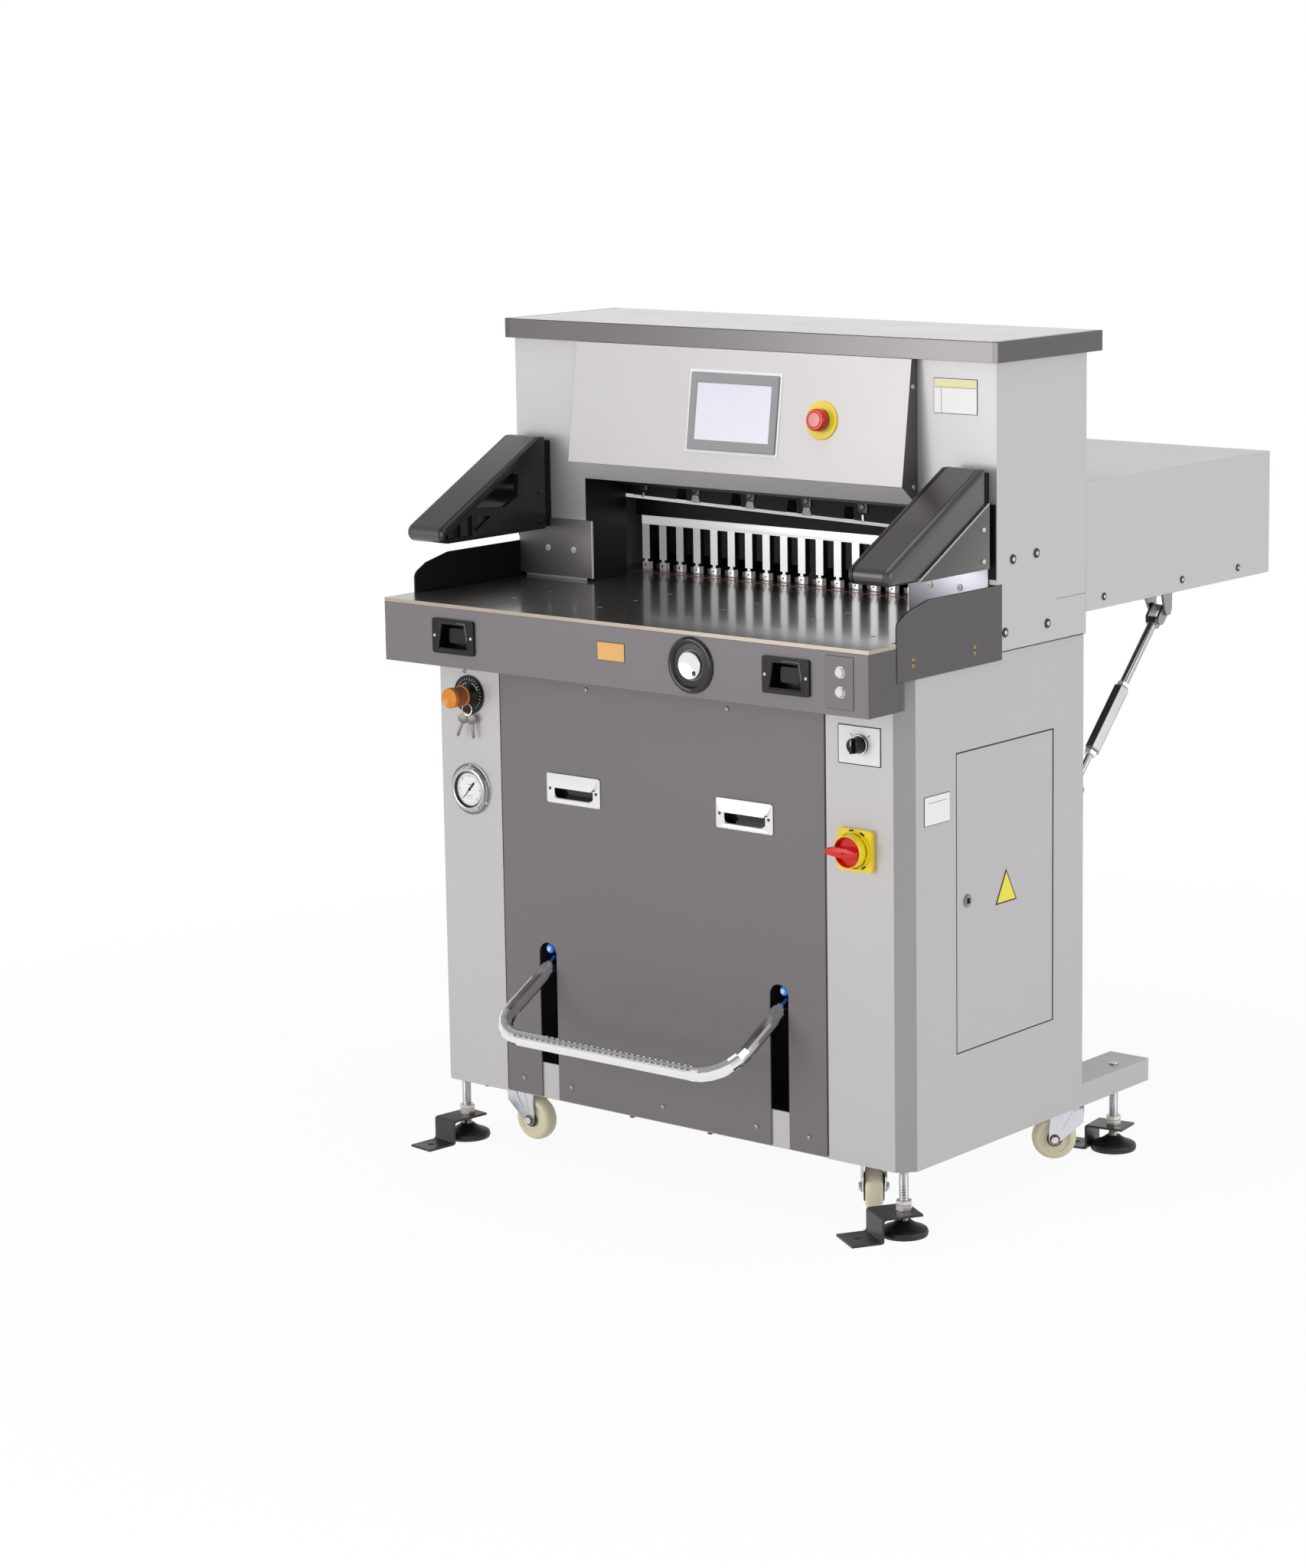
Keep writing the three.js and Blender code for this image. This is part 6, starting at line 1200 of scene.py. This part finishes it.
def sleeve(*sections):
    """The sleeve's hexagon at each (height, scale)."""
    return [[(px * scale, py * scale, h) for px, py in SLEEVE] for h, scale in sections]


side_view = facing(0, 0, 0, RIGHT)
for side, word in SIDES:
    x = side * 450
    place, length = towards((x, *UPPER_EYE), (x, *LOWER_EYE))
    strut = Shape()
    strut.add(turned([(7.6, 22), (7.6, 170)], 28), place, rod_steel)
    strut.add(turned([(5.4, 255), (5.4, length - 4)], 24), place, rod_steel)
    strut.add(sleeve((160, 0.86), (162, 1), (283, 1), (285, 0.86)), place, strut_dark)
    for low in (151.5, 285.6):
        lock_nut = sleeve((low, NUT_EDGE), (low + 1, NUT), (low + 7, NUT), (low + 8, NUT_EDGE))
        strut.add(lock_nut, place, white_zinc)
    clevis = facing(x, *UPPER_EYE, RIGHT) @ Matrix.Rotation(LEAN, 4, "Z")
    for h in (-12.5, 8.5):
        strut.add(slab([(px, py - 10) for px, py in rounded(20, 38, 9.5)], h, h + 4), clevis, strut_dark)
    strut.add(slab([(-9, -22), (9, -22), (8, -34), (-8, -34)], -8.6, 8.6), clevis, strut_dark)
    strut.add(turned([(6.5, -16), (7, -15), (7, 15), (6.5, 16)], 6), clevis, nut_steel)
    low_eye = facing(x, *LOWER_EYE, RIGHT)
    strut.add(turned([(12, -8), (12.4, -7), (12.4, 7), (12, 8)], 28), low_eye, strut_dark)
    strut.add(turned([(6, -13), (6, 13)], 6), low_eye, nut_steel)
    block(strut, (x - 19, x + 19), (653, 749), (795.7, 799.7), black_paint, 0.6)
    for low, corner in ((x - 17, 712), (x + 13, 720)):
        lug = [(727, 769), (732, 760), (742, 760), (747, 769), (748, 796), (corner, 796)]
        strut.add(slab(lug, low, low + 4), side_view, strut_dark)
    block(strut, (x - 19, x + 19), (470.3, 474.3), (486, 534), strut_dark, 0.6)
    for low in (x - 14, x + 10):
        lug = [(474, 498), (486, 498), (494, 504), (498, 510), (494, 516), (486, 522), (474, 522)]
        strut.add(slab(lug, low, low + 4), side_view, strut_dark)
    strut.finish("strut_" + word + "_turned", "base", "zinc", replaces=["strut_" + word], sharp=28)

# %% [markdown]
# ## Pedal tread
# The front bar is pressed with two rows of small ribs, so that a shoe does not slip, and a blue button sits at
# the top of each arm's slot.

# %% Pedal tread
BAR_Y, BAR_Z, BAR_RADIUS = -138, 141, 12.5
PIVOT_Y, PIVOT_Z = 70, 257
RIB_PLACES, RIB_SPAN = 31, 352
down = Vector((0, BAR_Y - PIVOT_Y, BAR_Z - PIVOT_Z)).normalized()
square = Vector((0, down.z, -down.y))
square = square if square.z > 0 else -square
rib = Shape().add(rects((6.6, 3.2, 1.6, -0.6), (6.6, 3.2, 1.6, 0.8), (4.6, 1.8, 0.9, 1.6), steps=3), MM, chrome)
# The ribs are a darker copy of chrome: painted shade for the dark that the ribs reflect.
tread_chrome = metal("tread_chrome", (0.34, 0.34, 0.34), 0.2)
tread = []
for angle in (62, 108):
    along, up = polar(1, angle)
    lean = (along * down + up * square).normalized()
    for i in range(RIB_PLACES):
        spot = Vector((i * RIB_SPAN / (RIB_PLACES - 1) - RIB_SPAN / 2, BAR_Y, BAR_Z)) + lean * BAR_RADIUS
        tread.append((*spot, tuple(lean), 1.0))
copied("pedal_ribs", rib, tread, tread_chrome, "pedal")
bushes = Shape()
for side, _ in SIDES:
    bush = facing(side * 238.5 + 7, 0, 251)
    bushes.add(turned([(8, -12), (8, -3), (7, 0.4), (4.4, 2.4), (0.6, 3)], 28), bush, blue_plastic)
    # The pale centre of each blue bush is a painted glow.
    bushes.add(turned([(4.2, 2.6), (3.6, 3.2), (0.4, 3.5)], 20), bush, sky_plastic)
bushes.finish("pedal_bushes", "base", "black_plastic")

# %% [markdown]
# ## Gauge needle and small fittings
# At rest the thin end of the needle points to zero, low on the left. The console's cheek has two screws.

# %% Gauge needle and small fittings
needle = Shape()
needle_place = facing(GAUGE[0], -5.4, GAUGE[2]) @ Matrix.Rotation(math.atan2(18, 15.8), 4, "Z")
pointer = [(-19.5, -0.3), (0, -0.8), (3, -1.5), (14.5, -1.7), (15.5, -0.8), (15.5, 0.8), (14.5, 1.7), (3, 1.5),
           (0, 0.8), (-19.5, 0.3)]
needle.add(slab(pointer, 0.2, 1.0), needle_place, black_plastic)
needle.add(turned([(2.3, 0), (2.3, 1.3), (1.5, 1.8)], 24), needle_place, black_plastic)
needle.finish("needle", "needle", "black_plastic", replaces=["gauge_needle"])
lock_ring = Shape()
lock_section = [(10.4, 0), (10.4, 0.9), (9.6, 1.6), (8.2, 1.6), (8.1, 0.0)]
lock_ring.add(turned(lock_section, 40), facing(CABINET_SIDE, 155, 395, RIGHT), lock_steel, True)
lock_ring.finish("lock_ring", "door", "chrome")
fittings = Shape()
for y, z in ((215, 1164), (216, 1010)):
    fittings.add(turned([(4.2, 0), (4.2, 0.8), (3.4, 1.8), (1.4, 2.1)], 20), facing(337, y, z, RIGHT), zinc)
for x, y in ((-300, 30), (-80, 20), (80, 20), (300, 30), (395, 22), (-395, 22)):
    fittings.add(turned([(5, 0), (5, 3), (3, 4.5)], 6), facing(x, y, -4.2, (0, 0, -1)), dark_zinc)
fittings.finish("small_screws", "base", "zinc")
